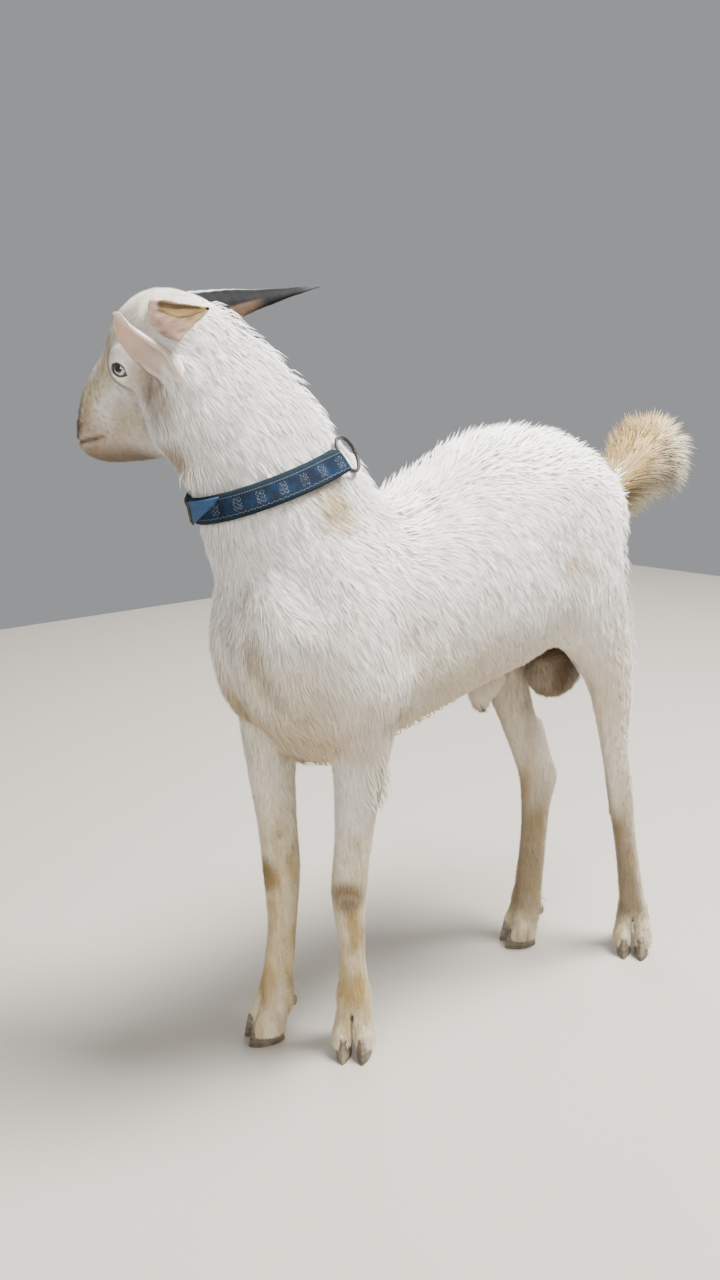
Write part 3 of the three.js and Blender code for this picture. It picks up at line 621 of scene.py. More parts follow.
# The unwrap of the skin: each part of the body is rolled out round a line of its own, with its
# two ends rolled on as caps, into a box of the map. Ears are rolled out inside and outside.
def foot_line(name):
    """A leg's line with the foot's middle added."""
    return [*LEGS[name][4], list(foot_frame(name)[2] + [0, 0, 10])]


CHARTS = {
    "head": ([head(0, 0, -62), head(60, 0, -100), head(112, 0, -140)], UP, 40, (0.01, 0.43, 0.36, 0.30)),
    "neck": ([s[:3] for s in NECK], (0.9, 0, 0.4), 80, (0.63, 0.01, 0.36, 0.30)),
    "trunk": ([[s[0], 0, (s[1] + s[2]) / 2] for s in TRUNK], (0, 0, 1), 100, (0.01, 0.01, 0.60, 0.40)),
    "dock": ([TAIL_START, [352, 0, 706]], (0, 0, 1), 20, (0.01, 0.75, 0.20, 0.20)),
    **{name: (foot_line(name), (1, 0, 0), 30, (0.39, bottom, 0.38, 0.12))
       for name, bottom in zip(LEGS, (0.43, 0.57, 0.71, 0.85))},
    "scrotum": ([[190, -2, 440], [190, -2, 412]], (1, 0, 0), 25, (0.80, 0.88, 0.09, 0.10)),
    "sheath": ([[66, 0, 436], [58, 0, 402]], (1, 0, 0), 15, (0.90, 0.88, 0.09, 0.10)),
}
PARTS = [*CHARTS, "ear_left", "ear_right"]
HEAD_PART, NECK_PART, TRUNK_PART, DOCK_PART, *LEG_PARTS, SCROTUM_PART, SHEATH_PART = range(10)
EAR_PARTS = {1: 10, -1: 11}
MASSES = [head_mass, neck_mass, trunk_mass, dock_mass, *leg_masses.values(), scrotum_mass,
          sheath_mass, ear_masses[1], ear_masses[-1]]


def rolled_out(part, p):
    """Place on a part's own unwrap: the run along its line, from 0 to 1 with the end caps, and
    the turn round it, in turns."""
    if part.startswith("ear"):
        s = 1 if part == "ear_left" else -1
        t, _, x, y = ear_place(p, s)
        cup, r = ear_section(t)
        angle = np.clip(np.arctan2(x, r - y) / cup, -1.2, 1.2)
        outer = np.hypot(x, r - y) > r
        return np.clip(t, 0, 1), np.where(outer, 0.25 + angle * 0.18, 0.75 + angle * 0.18)
    line, start, cap, _ = CHARTS[part]
    line = np.asarray(line, float)
    step = line[1:] - line[:-1]
    length = np.linalg.norm(step, axis=1)
    axis = step / length[:, None]
    run = run_along(line)
    r = p[:, None] - line[None, :-1]
    along = (r * axis).sum(2)
    held = np.clip(along, 0, length)
    away = np.linalg.norm(r - axis * held[..., None], axis=2)
    k = np.argmin(away, 1)
    every = np.arange(len(p))
    beyond = (along - held)[every, k]
    side = unit(np.cross(axis, np.asarray(start, float)))
    front = np.cross(side, axis)
    offset = r[every, k]
    x, y = (offset * front[k]).sum(1), (offset * side[k]).sum(1)
    s = run[k] + held[every, k] + cap * np.arctan2(beyond, np.hypot(x, y) + 1e-6)
    full = run[-1] + math.pi * cap
    return (s + math.pi / 2 * cap) / full, np.arctan2(y, x) / (2 * math.pi) + 0.5


EAR_BOXES = {"ear_left": (0.80, 0.33, 0.18, 0.25), "ear_right": (0.80, 0.60, 0.18, 0.25)}


def map_place(part_number, p):
    """Run and turn for points that belong to the numbered parts."""
    run, turn = np.zeros(len(p)), np.zeros(len(p))
    for i, part in enumerate(PARTS):
        mine = part_number == i
        if mine.any():
            run[mine], turn[mine] = rolled_out(part, p[mine])
    return run, turn


def map_box(part_number):
    """The boxes of the map for the numbered parts."""
    boxes = np.array([CHARTS[part][3] if part in CHARTS else EAR_BOXES[part] for part in PARTS])
    return boxes[part_number]


def nearest_part(p):
    """The number of the mass that each point is nearest to, and all the distances."""
    d = np.stack([mass(p) for mass in MASSES], 1)
    return np.argmin(d, 1), d


def built(name, points, faces, smooth=True):
    """A mesh object from goat millimetres and faces."""
    mesh = bpy.data.meshes.new(name)
    faces = np.asarray(faces)
    mesh.vertices.add(len(points))
    mesh.vertices.foreach_set("co", metres(points).astype(np.float32).ravel())
    mesh.loops.add(faces.size)
    mesh.loops.foreach_set("vertex_index", faces.ravel().astype(np.int32))
    mesh.polygons.add(len(faces))
    mesh.polygons.foreach_set("loop_start", np.arange(0, faces.size, faces.shape[1], dtype=np.int32))
    mesh.polygons.foreach_set("use_smooth", np.full(len(faces), smooth))
    mesh.update(calc_edges=True)
    thing = bpy.data.objects.new(name, mesh)
    bpy.context.scene.collection.objects.link(thing)
    return thing


def tell(thing, name, values):
    """Stores a value, a colour or a vector for each corner point under a name."""
    values = np.asarray(values, np.float32)
    if values.ndim == 1:
        kind, field = "FLOAT", "value"
    else:
        kind, field = "FLOAT_COLOR", "color"
        values = np.hstack([values, np.ones((len(values), 1), np.float32)])
    data = thing.data.attributes.new(name, kind, "POINT").data
    data.foreach_set(field, values.ravel())


def ripple(p, size, seed, count=14):
    """Smooth random values about between -1 and 1 that change over the given size: a sum of
    sines that run in random directions."""
    r = np.random.default_rng(seed)
    way = r.normal(size=(count, 3))
    way *= (2 * math.pi / size) * r.uniform(0.6, 1.5, (count, 1)) / np.linalg.norm(way, axis=1)[:, None]
    return np.sin(p @ way.T + r.uniform(0, 6.283, count)).sum(1) / math.sqrt(count / 2) * 0.7


def sheer(r, g, b):
    """A display colour of 0 to 255 as the light it stands for: about the 2.2 power."""
    c = np.array([r, g, b]) / 255
    return np.where(c < 0.04045, c / 12.92, ((c + 0.055) / 1.055) ** 2.4)


def near_spot(p, centre, radii, axes=np.eye(3)):
    """1 at the middle of an egg-shaped spot, falling smoothly to 0 at its edge."""
    e = (p - np.asarray(centre)) @ np.asarray(axes).T / np.asarray(radii)
    return 1 - ease(np.linalg.norm(e, axis=1), 0.35, 1.0)


WHITE, CREAM, TAN, DARK = (243, 240, 236), (226, 212, 184), (190, 160, 118), (52, 42, 38)
HOLLOW_SHADE, OCHRE, ROSE = (158, 138, 106), (112, 88, 62), (206, 178, 160)
# Painted shade in the hollows of the near side: down the crease between breast and shoulder, in the fold over
# the foreleg, between and under the forelegs, and on the flank behind the shoulder and elbow: centre, radii,
# strength.
SHADED_HOLLOWS = [((-294, -34, 604), (14, 20, 30), 0.4), ((-296, -50, 547), (18, 20, 36), 0.6),
          ((-290, -60, 516), (16, 17, 30), 0.75), ((-283, -66, 488), (18, 17, 34), 0.85),
          ((-256, -73, 462), (24, 18, 24), 0.7), ((-280, 10, 470), (34, 60, 60), 0.75),
          ((-224, 10, 400), (50, 40, 26), 0.85), ((-250, -62, 430), (24, 30, 22), 0.6),
          ((-127, -105, 548), (30, 16, 44), 0.3), ((-133, -88, 450), (40, 26, 22), 0.5)]


def shares(away):
    """How much each point belongs to the head, neck, trunk, tail and legs, from its distances
    to them: soft where two of them meet."""
    main = np.stack([away[:, 0], away[:, 1], away[:, 2], away[:, 3], away[:, 4:8].min(1)], 1)
    w = np.exp(-(main - main.min(1, keepdims=True)) / 14)
    return w / w.sum(1, keepdims=True)


def marks_and_painted_shade(p, n, part, away):
    """The colour of skin and coat at points with these outward directions on these parts: white all over,
    cream and tan low down, and marks on the face, ears, knees and belly, with painted shade where shade
    falls: under the belly and chest, in the groin, the creases and the feet's clefts, on the far hind leg and
    the hind shins, and under the ears and jaw."""
    tone = np.tile(sheer(*WHITE), (len(p), 1))

    def lay_on(colour, amount):
        nonlocal tone
        amount = np.clip(amount, 0, 1)[:, None]
        tone = tone * (1 - amount) + sheer(*colour) * amount

    def spot(colour, where, at, radii, strength):
        lay_on(colour, where * near_spot(p, at, radii) * strength)

    def head_spot(colour, where, at, radii, strength):
        lay_on(colour, where * near_spot(p, head(*at), radii, HEAD_AXES) * strength)
    face, neck, trunk, _, leg = shares(away).T
    x, y, z = p.T
    drawn_out = p * [1, 1, 0.3]
    patchy, fine_patchy, speckle = ripple(p, 150, 1), ripple(drawn_out, 32, 2), ripple(drawn_out, 8, 3)

    # The trunk, from top to bottom.
    low = ease(-z, -640, -420)
    lay_on(CREAM, (neck + trunk + leg) * low * (0.6 + 0.25 * patchy))
    lay_on((226, 214, 190), (neck + trunk) * ease(fine_patchy, 0.1, 1.0) * (0.15 + 0.3 * low))
    # Painted shade on skin that faces down, low on the trunk and legs: beige, then tan under the belly.
    lay_on((214, 200, 176), trunk * ease(-n[:, 2], -0.1, 0.5) * ease(-z, -560, -470) * 0.5)
    lay_on(TAN, (trunk + leg) * ease(-n[:, 2], 0.2, 0.9) * ease(-z, -500, -410) * 0.9)
    # Painted shadow in the groin between the hind legs.
    spot((150, 118, 84), trunk, (206, 10, 470), (56, 70, 52), 0.9)
    lay_on((192, 168, 132), trunk * low * ease(ripple(p, 60, 9), 0.0, 1.2) * 0.45)
    lay_on((204, 188, 158), trunk * ease(-z, -570, -450) * 0.4)
    # Painted shade on the far hind leg.
    lay_on((176, 156, 128), leg * ease(y, 10, 40) * ease(x, 60, 120) * 0.5)
    # Painted shade, laid in each of those hollows.
    for at, radii, strength in SHADED_HOLLOWS:
        spot(HOLLOW_SHADE, trunk + leg + neck, at, radii, strength)
    # Painted shade under the chest between the forelegs.
    spot(OCHRE, trunk + leg, (-210, 12, 396), (48, 46, 24), 0.75)

    # The legs: tan shins in streaks, painted shade down one side of the hind shins, worn pads on the knees,
    # fetlocks, and painted shade in the clefts of the feet.
    streak = ripple(p * [1, 1, 0.22], 11, 4)
    shin = ease(-z + 26 * fine_patchy, -330, -160)
    hind = ease(x, 0, 60)
    lay_on((204, 182, 138), leg * shin * (0.85 - 0.35 * hind + 0.15 * fine_patchy + 0.18 * streak))
    # Painted shade on the side of the hind shins that faces forward and to the left.
    lay_on((132, 115, 86), leg * shin * hind * ease(-n[:, 0] - 0.5 * n[:, 1], -0.3, 0.9) * 0.9)
    lay_on((166, 138, 84), leg * shin * ease(fine_patchy + 0.5 * streak, 0.0, 1.6) * (0.65 - 0.3 * hind))
    lay_on((226, 212, 182), leg * ease(-z, -74, -34) * (0.5 - 0.2 * streak))
    for name, strength in (("fore_left", 1.0), ("fore_right", 0.5)):
        way, knee = foot_frame(name)[0], joint(name, KNEE)
        pad = near_spot(p, knee + way * 22 + [0, 0, -4], (20, 15, 17))
        rim = near_spot(p, knee + way * 20 + [0, 0, 4], (28, 26, 32)) - pad
        lay_on((128, 106, 70), leg * rim.clip(0, 1) * strength)
        lay_on((136, 118, 94), leg * pad * strength)
        spot((170, 140, 78), leg, joint(name, FETLOCK) + way * 16 + [0, 0, 18], (24, 24, 34), 0.7)
    spot((136, 112, 62), leg, (-234, 70, 226), (17, 22, 32), 0.9)
    spot((182, 162, 118), 1 - face, (-196, -66, 690), (36, 44, 44), 0.85)
    # Painted shade in the cleft between each foot's two claws.
    for name in LEGS:
        _, side, foot = foot_frame(name)
        gap = np.exp(-(((p - foot) @ side) / 2.2) ** 2) * (np.linalg.norm(p - foot, axis=1) < 74)
        lay_on(OCHRE, leg * gap * ease(-z, -62, -44) * 0.9)
    spot((206, 190, 158), trunk, (117, -100, 597), (26, 34, 24), 0.8)
    spot((206, 192, 164), trunk, (118, -104, 547), (20, 34, 30), 0.6)

    # The face: grey cream cheeks, a tan bridge of the nose, a brown muzzle, mouth and nostrils, with painted
    # shade low on the cheeks, under the ear and jaw, in the line of the mouth and in the nostrils.
    f, l, u = on_head(p)
    lay_on((222, 211, 190), face * (0.5 + 0.3 * fine_patchy + 0.12 * speckle))
    # Darker beige low on the cheek: partly its colour, partly painted shade low on the face.
    head_spot((192, 174, 142), face, (60, 36, -132), (40, 44, 34), 0.75)
    # Painted shadow of the ear on the cheek below it.
    spot((134, 112, 86), face + neck, (-364, 22, 821), (24, 26, 30), 0.75)
    spot((150, 128, 100), face + neck, (-354, 14, 802), (26, 26, 34), 0.5)
    # Painted shade under the jaw, along the throat.
    spot((144, 122, 92), face + neck, (-341, 20, 742), (20, 46, 34), 0.8)
    bridge = ease(f * 0.78 + u * 0.62, -2, 10) * ease(f, 52, 80)
    lay_on((200, 182, 144), face * bridge * (0.65 + 0.2 * speckle) * ease(-f, -130, -114))
    ahead = down_nose(f, u)
    mottled = ease(ripple(p, 7, 33), 0.4, 1.6)
    lay_on((116, 94, 62), face * ease(ahead, 90, 130) * ease(f, 70, 96) * mottled * 0.6)
    lay_on((160, 132, 104), face * ease(ahead, 144, 172) * 0.65)
    head_spot((126, 94, 70), face, (127, 0, -132), (17, 26, 22), 0.8 + 0.25 * speckle)
    # Darker brown under the chin: partly its tan, partly painted shade under the jaw.
    lay_on((108, 86, 64), face * ease(-u, 146, 170) * ease(f, 20, 60) * 0.8)
    # Painted shade in the line of the mouth between the lips.
    mouth = np.exp(-(mouth_gap(f, u) / 2.3) ** 2) * ease(f, 88, 96)
    lay_on((84, 54, 40), face * mouth * 0.85)
    # Painted shade in the nostril slits.
    lay_on(DARK, face * ease(-nostril_gap(f, np.abs(l), u), -4.2, -2.4) * 0.95)
    head_spot((196, 150, 132), face, (122, 0, -156), (18, 24, 8), 0.6)
    for s in (1, -1):
        eye = (EYE_AT[0], s * EYE_AT[1], EYE_AT[2])
        head_spot((214, 200, 184), face, eye, (32, 30, 32), 0.6)
        head_spot((128, 108, 96), face, eye, (14, 16, 14), 0.75)
        head_spot(WHITE, face, (54, s * 42, -52), (16, 14, 8), 0.7)
        head_spot(ROSE, face + neck, (0, s * 50, -108), (26, 20, 12), 0.6)
        ear = part == EAR_PARTS[s]
        if ear.any():
            t, _, a, b = ear_place(p[ear], s)
            cup, r = ear_section(t)
            turn = np.arctan2(a, r - b) / cup
            hollow, warm = np.zeros(len(p)), np.zeros(len(p))
            # Rose in the ear's hollow, rising away from one rim: partly the ear's own pink, partly painted
            # shade in the cup under the lit rim.
            hollow[ear] = (np.hypot(a, r - b) < r) * ease(-turn, -0.75, 0.1) * ease(t, 0.25, 0.5)
            warm[ear] = hollow[ear] * ease(t, 0.5, 0.85)
            lay_on((226, 200, 184), ear * 0.6)
            lay_on(ROSE, hollow * 0.75)
            lay_on((216, 168, 136), warm * 0.5)

    # Scrotum and sheath: the scrotum dark brown, partly its own colour and partly painted shade under the
    # belly, with painted shadow at its top in the groin.
    scrotum = part == SCROTUM_PART
    lay_on((100, 80, 56), scrotum * (0.85 + 0.15 * fine_patchy))
    # Painted shadow at the top of the scrotum, in the groin.
    spot((120, 92, 64), scrotum | (part == TRUNK_PART), (176, -6, 470), (60, 60, 34), 0.85)
    lay_on(DARK, (part == SHEATH_PART) * ease(-z, -414, -402) * 0.8)
    return tone


def face_uv(thing, corner_u, corner_v):
    """Writes a map named OFBake from one pair of numbers per face corner."""
    layer = thing.data.uv_layers.new(name="OFBake")
    layer.data.foreach_set("uv", np.stack([corner_u, corner_v], -1).astype(np.float32).ravel())


skin = built("skin", skin_points, skin_faces)
skin_part, skin_away = nearest_part(skin_points)
tell(skin, "tone", marks_and_painted_shade(skin_points, skin_normals, skin_part, skin_away))
face_part = skin_part[skin_faces[:, 0]]
run, turn = map_place(np.repeat(face_part, 4), skin_points[skin_faces.ravel()])
turn = turn.reshape(-1, 4)
first = turn[:, :1]
turn = first + (turn - first + 0.5) % 1 - 0.5
boxes = map_box(face_part)
face_uv(skin, boxes[:, :1] + boxes[:, 2:3] * np.clip(run.reshape(-1, 4), 0, 1),
        boxes[:, 1:2] + boxes[:, 3:4] * np.clip(turn, -0.03, 1.03))


class Link:
    """A shader socket that can be reckoned with: + - * / and powers add Math nodes, or Vector
    Math nodes where either side is a vector or colour."""

    def __init__(self, web, socket, many=None):
        self.web, self.socket = web, socket
        self.many = socket.type in ("VECTOR", "RGBA") if many is None else many

    def reckon(self, operation, other, turned=False):
        a, b = (other, self) if turned else (self, other)
        many = self.many or isinstance(other, (tuple, list)) or getattr(other, "many", False)
        if many:
            plain = not isinstance(b, (tuple, list)) and not getattr(b, "many", False)
            if operation == "MULTIPLY" and plain:
                return self.web.node("ShaderNodeVectorMath", {"operation": "SCALE"},
                                     {"Vector": a, "Scale": b})
            a, b = [(v, v, v) if isinstance(v, (int, float)) else v for v in (a, b)]
            return self.web.node("ShaderNodeVectorMath", {"operation": operation}, {0: a, 1: b})
        return self.web.node("ShaderNodeMath", {"operation": operation}, {0: a, 1: b})

    __add__ = lambda self, o: self.reckon("ADD", o)
    __radd__ = __add__
    __mul__ = lambda self, o: self.reckon("MULTIPLY", o)
    __rmul__ = __mul__
    __sub__ = lambda self, o: self.reckon("SUBTRACT", o)
    __rsub__ = lambda self, o: self.reckon("SUBTRACT", o, True)
    __truediv__ = lambda self, o: self.reckon("DIVIDE", o)
    __rtruediv__ = lambda self, o: self.reckon("DIVIDE", o, True)
    __pow__ = lambda self, o: self.reckon("POWER", o)

    def of(self, operation, *others):
        """Any other operation of the Math node, such as SINE or ABSOLUTE."""
        return self.web.node("ShaderNodeMath", {"operation": operation},
                             dict(enumerate((self, *others))))

    def step(self, start, end):
        """0 before the start, 1 past the end, smooth between."""
        return self.web.node("ShaderNodeMapRange", {"interpolation_type": "SMOOTHSTEP"},
                             {"Value": self, "From Min": start, "From Max": end})

    def apart(self):
        """The three numbers of a vector."""
        n = self.web.node("ShaderNodeSeparateXYZ", {}, {0: self}, None)
        return [Link(self.web, o) for o in n.outputs]


class Web:
    """A material's nodes, with one method that adds any node."""

    def __init__(self, name):
        self.material = bpy.data.materials.new(name)
        self.material.use_nodes = True
        self.nodes, self.links = self.material.node_tree.nodes, self.material.node_tree.links
        self.shader = self.nodes["Principled BSDF"]

    def node(self, kind, settings=None, values=None, out=0):
        n = self.nodes.new(kind)
        for key, value in (settings or {}).items():
            setattr(n, key, value)
        for key, value in (values or {}).items():
            self.put(n.inputs[key], value)
        return n if out is None else Link(self, n.outputs[out])

    def put(self, socket, value):
        if isinstance(value, Link):
            self.links.new(value.socket, socket)
        elif hasattr(socket, "default_value"):
            if socket.type == "RGBA" and len(value) == 3:
                value = (*value, 1)
            socket.default_value = value

    def place(self):
        """Object coordinates."""
        return self.node("ShaderNodeTexCoord", {}, {}, "Object")

    def told(self, name, out="Color"):
        """A value stored on the mesh under a name."""
        return self.node("ShaderNodeAttribute", {"attribute_name": name}, {}, out)

    def noise(self, place, scale, detail=3.0):
        return self.node("ShaderNodeTexNoise", {}, {"Vector": place, "Scale": scale, "Detail": detail})

    def mix(self, amount, a, b):
        """From colour a to colour b as the amount goes from 0 to 1."""
        n = self.node("ShaderNodeMix", {"data_type": "RGBA"}, {}, None)
        for key, value in ((0, amount), (6, a), (7, b)):
            self.put(n.inputs[key], value)
        return Link(self, n.outputs[2])

    def bump(self, height, depth, strength=1.0):
        """A bump whose height of 1 stands for the depth in metres."""
        n = self.node("ShaderNodeBump", {}, {"Height": height, "Distance": depth, "Strength": strength})
        self.links.new(n.socket, self.shader.inputs["Normal"])

    def finish(self, thing, **values):
        """Sets the shader's sockets and gives the material to an object."""
        for key, value in values.items():
            self.put(self.shader.inputs[key.replace("_", " ").title().replace("Ior", "IOR")], value)
        thing.data.materials.append(self.material)
        return self.material


web = Web("skin")
grain = web.noise(web.place(), 900, 2)
web.bump(grain, 0.0006, 0.6)
web.finish(skin, base_color=web.told("tone") * (0.86 + grain * 0.16), roughness=0.75,
           sheen_weight=0.15, sheen_roughness=0.5)
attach(skin, "root")
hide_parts("head", "neck", "trunk", "tail", "ear_left", "ear_right", "scrotum", "sheath",
            *[f"{leg}_{half}" for leg in LEGS for half in ("upper", "lower")])

# ---------------------------------------------------------------- the coat
# Goat's hair lies back along the body, short and flat, shortest on the face and feet. Each
# tuft is a thin three-sided spike that lies along the skin; along the nape, back and rump,
# longer bent locks stand out of it.
NECK_WAY, LEG_WAY = np.array([0.42, -0.10, -0.90]), np.array([0.16, 0, -0.98])
BACK_WAY, FLANK_WAY = np.array([0.98, 0, -0.15]), np.array([0.42, 0, -0.90])
NOSE = head(126, 0, -132)
# The strap of the collar: the middle of its ring round the neck, the way up its width, half
# its width, and a reach that takes in all of it.
STRAP_AT, STRAP_TILT = np.array([-236.0, 0, 713]), math.radians(17)
STRAP_UP = np.array([-math.sin(STRAP_TILT), 0, math.cos(STRAP_TILT)])
STRAP_HALF, STRAP_REACH = 14.0, 130
DRAWN = [1, 1, 0.45]   # places are squeezed by this, so that the locks come out long downwards


def coat_facts(p, n, away):
    """For roots on the skin: the way the hair lies, its length, its width and how high it
    stands. Each is a mean over the parts near by, weighted by how near they are."""
    w = shares(away)
    f, _, u = on_head(p)
    lower = ease(0.75 - n[:, 2], 0.0, 0.6)[:, None]
    trunk_way = BACK_WAY * (1 - lower) + FLANK_WAY * lower
    ways = (w[:, :1] * unit(p - NOSE) + w[:, 1:2] * NECK_WAY + w[:, 2:3] * trunk_way
            + w[:, 3:4] * [0.8, 0, 0.6] + w[:, 4:5] * LEG_WAY)
    ahead = down_nose(f, u)
    high_leg = ease(p[:, 2], 260, 430)
    face_length = 2.2 + 2.4 * ease(-ahead, -165, -130) + 4.6 * ease(-ahead, -120, -40)
    trunk_length = 20 + 3 * ripple(p, 90, 3)
    length = (w[:, 0] * face_length + w[:, 1] * 16 + w[:, 2] * trunk_length + w[:, 3] * 22
              + w[:, 4] * (6.5 + 9 * high_leg))
    width = (w[:, 0] * 0.9 + w[:, 1] * 1.6 + w[:, 2] * 1.9 + w[:, 3] * 2.0
             + w[:, 4] * (1.1 + 0.6 * high_leg))
    depth = (w[:, 0] * HEAD_COAT + w[:, 1] * NECK_COAT + w[:, 2] * TRUNK_COAT + w[:, 3] * 6
             + w[:, 4] * (LEG_COAT + 2 * ease(p[:, 2], 330, 450)))
    return ways, length, width, depth


def lay_along(ways, n, p, wander=0.13):
    """The lay turned into the skin's plane, with swirls that neighbours share and a little of
    each lock's own."""
    swirl = np.stack([ripple(p, 80, s) for s in (11, 12, 13)], 1) * wander
    swirl += np.stack([ripple(p, 14, s) for s in (21, 22, 23)], 1) * wander * 0.45
    own = rng.normal(0, 0.09, p.shape)
    ways = unit(ways) + swirl + own
    return unit(ways - n * (ways * n).sum(1, keepdims=True))


def gathered(p, size, seed):
    """Locks of neighbours: space in jittered cells of the given size, warped by ripples. For
    each point the way to its cell's middle, and two random numbers of the cell."""
    warp = p + np.stack([ripple(p, 34, seed + q) for q in range(3)], 1) * size * 0.7
    cell = np.floor(warp / size)
    mixed = (cell @ np.array([[12.9898, 39.346, 73.156], [78.233, 11.135, 52.235],
                              [37.719, 83.155, 9.151]]) + seed)
    odd = np.modf(np.abs(np.sin(mixed) * 43758.5453))[0]
    return (cell + 0.25 + 0.5 * odd) * size - warp, odd[:, 0], odd[:, 1]


def sown(count, weight):
    """Roots spread over the skin's faces in proportion to area and weight: the points, their
    normals, parts and distances to every mass."""
    a, b, c, d = [skin_points[skin_faces[:, q]] for q in range(4)]
    area = np.linalg.norm(np.cross(c - a, d - b), axis=1) / 2
    mass = np.cumsum(area * weight)
    face = np.searchsorted(mass, (np.arange(count) + rng.random(count)) / count * mass[-1])
    s, t = rng.random((2, count, 1))
    corners = skin_faces[face]

    def inside(v):
        return ((v[corners[:, 0]] * (1 - s) + v[corners[:, 1]] * s) * (1 - t)
                + (v[corners[:, 3]] * (1 - s) + v[corners[:, 2]] * s) * t)
    return inside(skin_points), unit(inside(skin_normals)), skin_part[corners[:, 0]], inside(skin_away)


def kept(rows, *arrays):
    """Only these rows of each array."""
    return [v[rows] for v in arrays]


def in_rings(centres, sides, tops, widths, heights, tip):
    """Blades from rings of three points (left, ridge, right) that end in a tip. What is told
    once for a blade holds for all its rings. Gives points for each blade and the triangles of
    one."""
    count, rings = centres.shape[:2]
    sides, tops = [v[:, None] if v.ndim == 2 else v for v in (sides, tops)]
    widths, heights = [v[:, None] if v.ndim == 1 else v for v in (widths, heights)]
    p = np.empty((count, rings * 3 + 1, 3))
    half = sides * (widths / 2)[..., None]
    p[:, 0:-1:3] = centres - half
    p[:, 1:-1:3] = centres + tops * heights[..., None]
    p[:, 2:-1:3] = centres + half
    p[:, -1] = tip
    one = []
    for r in range(rings - 1):
        for q in range(3):
            a, b = r * 3 + q, r * 3 + (q + 1) % 3
            one += [[a, a + 3, b], [b, a + 3, b + 3]]
    last = (rings - 1) * 3
    one += [[last + q, rings * 3, last + (q + 1) % 3] for q in range(3)]
    return p, np.array(one)


hair = Web("coat")
grain = hair.noise(hair.place(), 800, 2)
hair.bump(grain, 0.0003, 0.5)
for key, value in {"Base Color": hair.told("tone") * (0.94 + grain * 0.12), "Roughness": 0.6,
                   "Sheen Weight": 0.12, "Sheen Roughness": 0.4, "Specular IOR Level": 0.3}.items():
    hair.put(hair.shader.inputs[key], value)


def coat_piece(name, points, triangles, tones, normals, run, turn):
    """One mesh of many blades, its colours, its soft normals, and its map: each blade is a
    patch at its root's place on the skin's unwrap."""
    count, corners = points.shape[:2]
    faces = (np.arange(count)[:, None, None] * corners + triangles[None]).reshape(-1, 3)
    thing = built(name, points.reshape(-1, 3), faces)
    tell(thing, "tone", tones.reshape(-1, 3).clip(0, 0.92))
    low, high = np.array([run.min(), turn.min()]), np.array([run.max(), turn.max()])
    at = (np.stack([run, turn], 1) - low) / (high - low) * 0.97 + 0.013
    corner = np.arange(corners)
    patch = np.stack([(corner // 3) / (corners // 3), (corner % 3) / 2], 1) * 0.003
    patch[-1] = (0.003, 0.0015)
    uv = (at[:, None] + patch[None]).reshape(-1, 2)[faces.ravel()]
    face_uv(thing, uv[:, 0], uv[:, 1])
    thing.data.normals_split_custom_set_from_vertices(unit(normals.reshape(-1, 3)).astype(np.float32))
    thing.data.materials.append(hair.material)
    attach(thing, "root")
    print(name, count, len(faces))


def soft_normals(out, across, rings, lean=0.4):
    """Normals of a blade's corners: mostly the skin's, leaning out at its two edges."""
    side = np.array([-lean, 0, lean] * rings + [0])
    return out[:, None] + across[:, None] * side[None, :, None]


def on_map(part, p):
    """Places on the whole map for points of the numbered parts."""
    run, turn = map_place(part, p)
    boxes = map_box(part)
    return boxes[:, 0] + boxes[:, 2] * run.clip(0, 1), boxes[:, 1] + boxes[:, 3] * turn


density = np.select([skin_part == HEAD_PART, np.isin(skin_part, LEG_PARTS), skin_part == NECK_PART,
                     skin_part > SHEATH_PART], [4.5, 1.5, 1.3, 3.0], 1.0)
density = np.where(skin_points[:, 2] < 30, 0.3, density)
root, out, part, away = sown(355000 if fine else 90000, density[skin_faces[:, 0]])
ways, length, width, depth = coat_facts(root, out, away)
for s, number in EAR_PARTS.items():
    ear = part == number
    line, axis, _, _ = ear_frame(s)
    near = np.argmin(((root[ear][:, None] - line[None]) ** 2).sum(2), 1)
    ways[ear] = axis[near]
    end = 1 - 0.6 * (near / len(line)) ** 3
    length[ear], width[ear], depth[ear] = 5 * end, 0.8, 1.0 * end
bare = np.isin(part, [SCROTUM_PART, SHEATH_PART])
length[bare], depth[bare], width[bare] = 13, 3.5, 1.3
lay = lay_along(ways, out, root)
if not fine:
    width *= 2
length *= rng.uniform(0.7, 1.3, len(root))
width *= rng.uniform(0.75, 1.3, len(root))
stand = depth * (1 + 0.14 * ripple(root, 24, 31)) * rng.uniform(0.5, 1.1, len(root))
inward, odd, even = gathered(root * DRAWN, 4.4, 61)
stand *= 0.86 + 0.28 * odd
stand[bare] *= 1.6

# Bare places: the eyes between their lids, the nostrils and the hooves. Hair is short and low
# round the eyes.
keep = root[:, 2] > 14
f, l, u = on_head(root)
keep &= nostril_gap(f, np.abs(l), u) > 4
for s in (1, -1):
    clear = np.linalg.norm(root - eye_frame(s)[0], axis=1) - EYE_RADIUS
    keep &= clear > 2.4
    stand *= 0.2 + 0.8 * ease(clear, 2, 20)
    length *= 0.5 + 0.5 * ease(clear, 2, 16)
root, out, part, away, lay, length, width, stand, inward, odd, even = kept(
    keep, root, out, part, away, lay, length, width, stand, inward, odd, even)
across = np.cross(out, lay)
aside = (inward * across).sum(1)
hairy = np.where(part == HEAD_PART, 0.5, (part < SHEATH_PART) * 1.0)
tip = root + lay * length[:, None] + across * (aside * 0.55 * hairy)[:, None]
tip += out * (stand - flesh(tip))[:, None].clip(-12, 12)
centres = (root - out * 0.8)[:, None]
points, triangles = in_rings(centres, across, out, width, width * 0.35, tip)
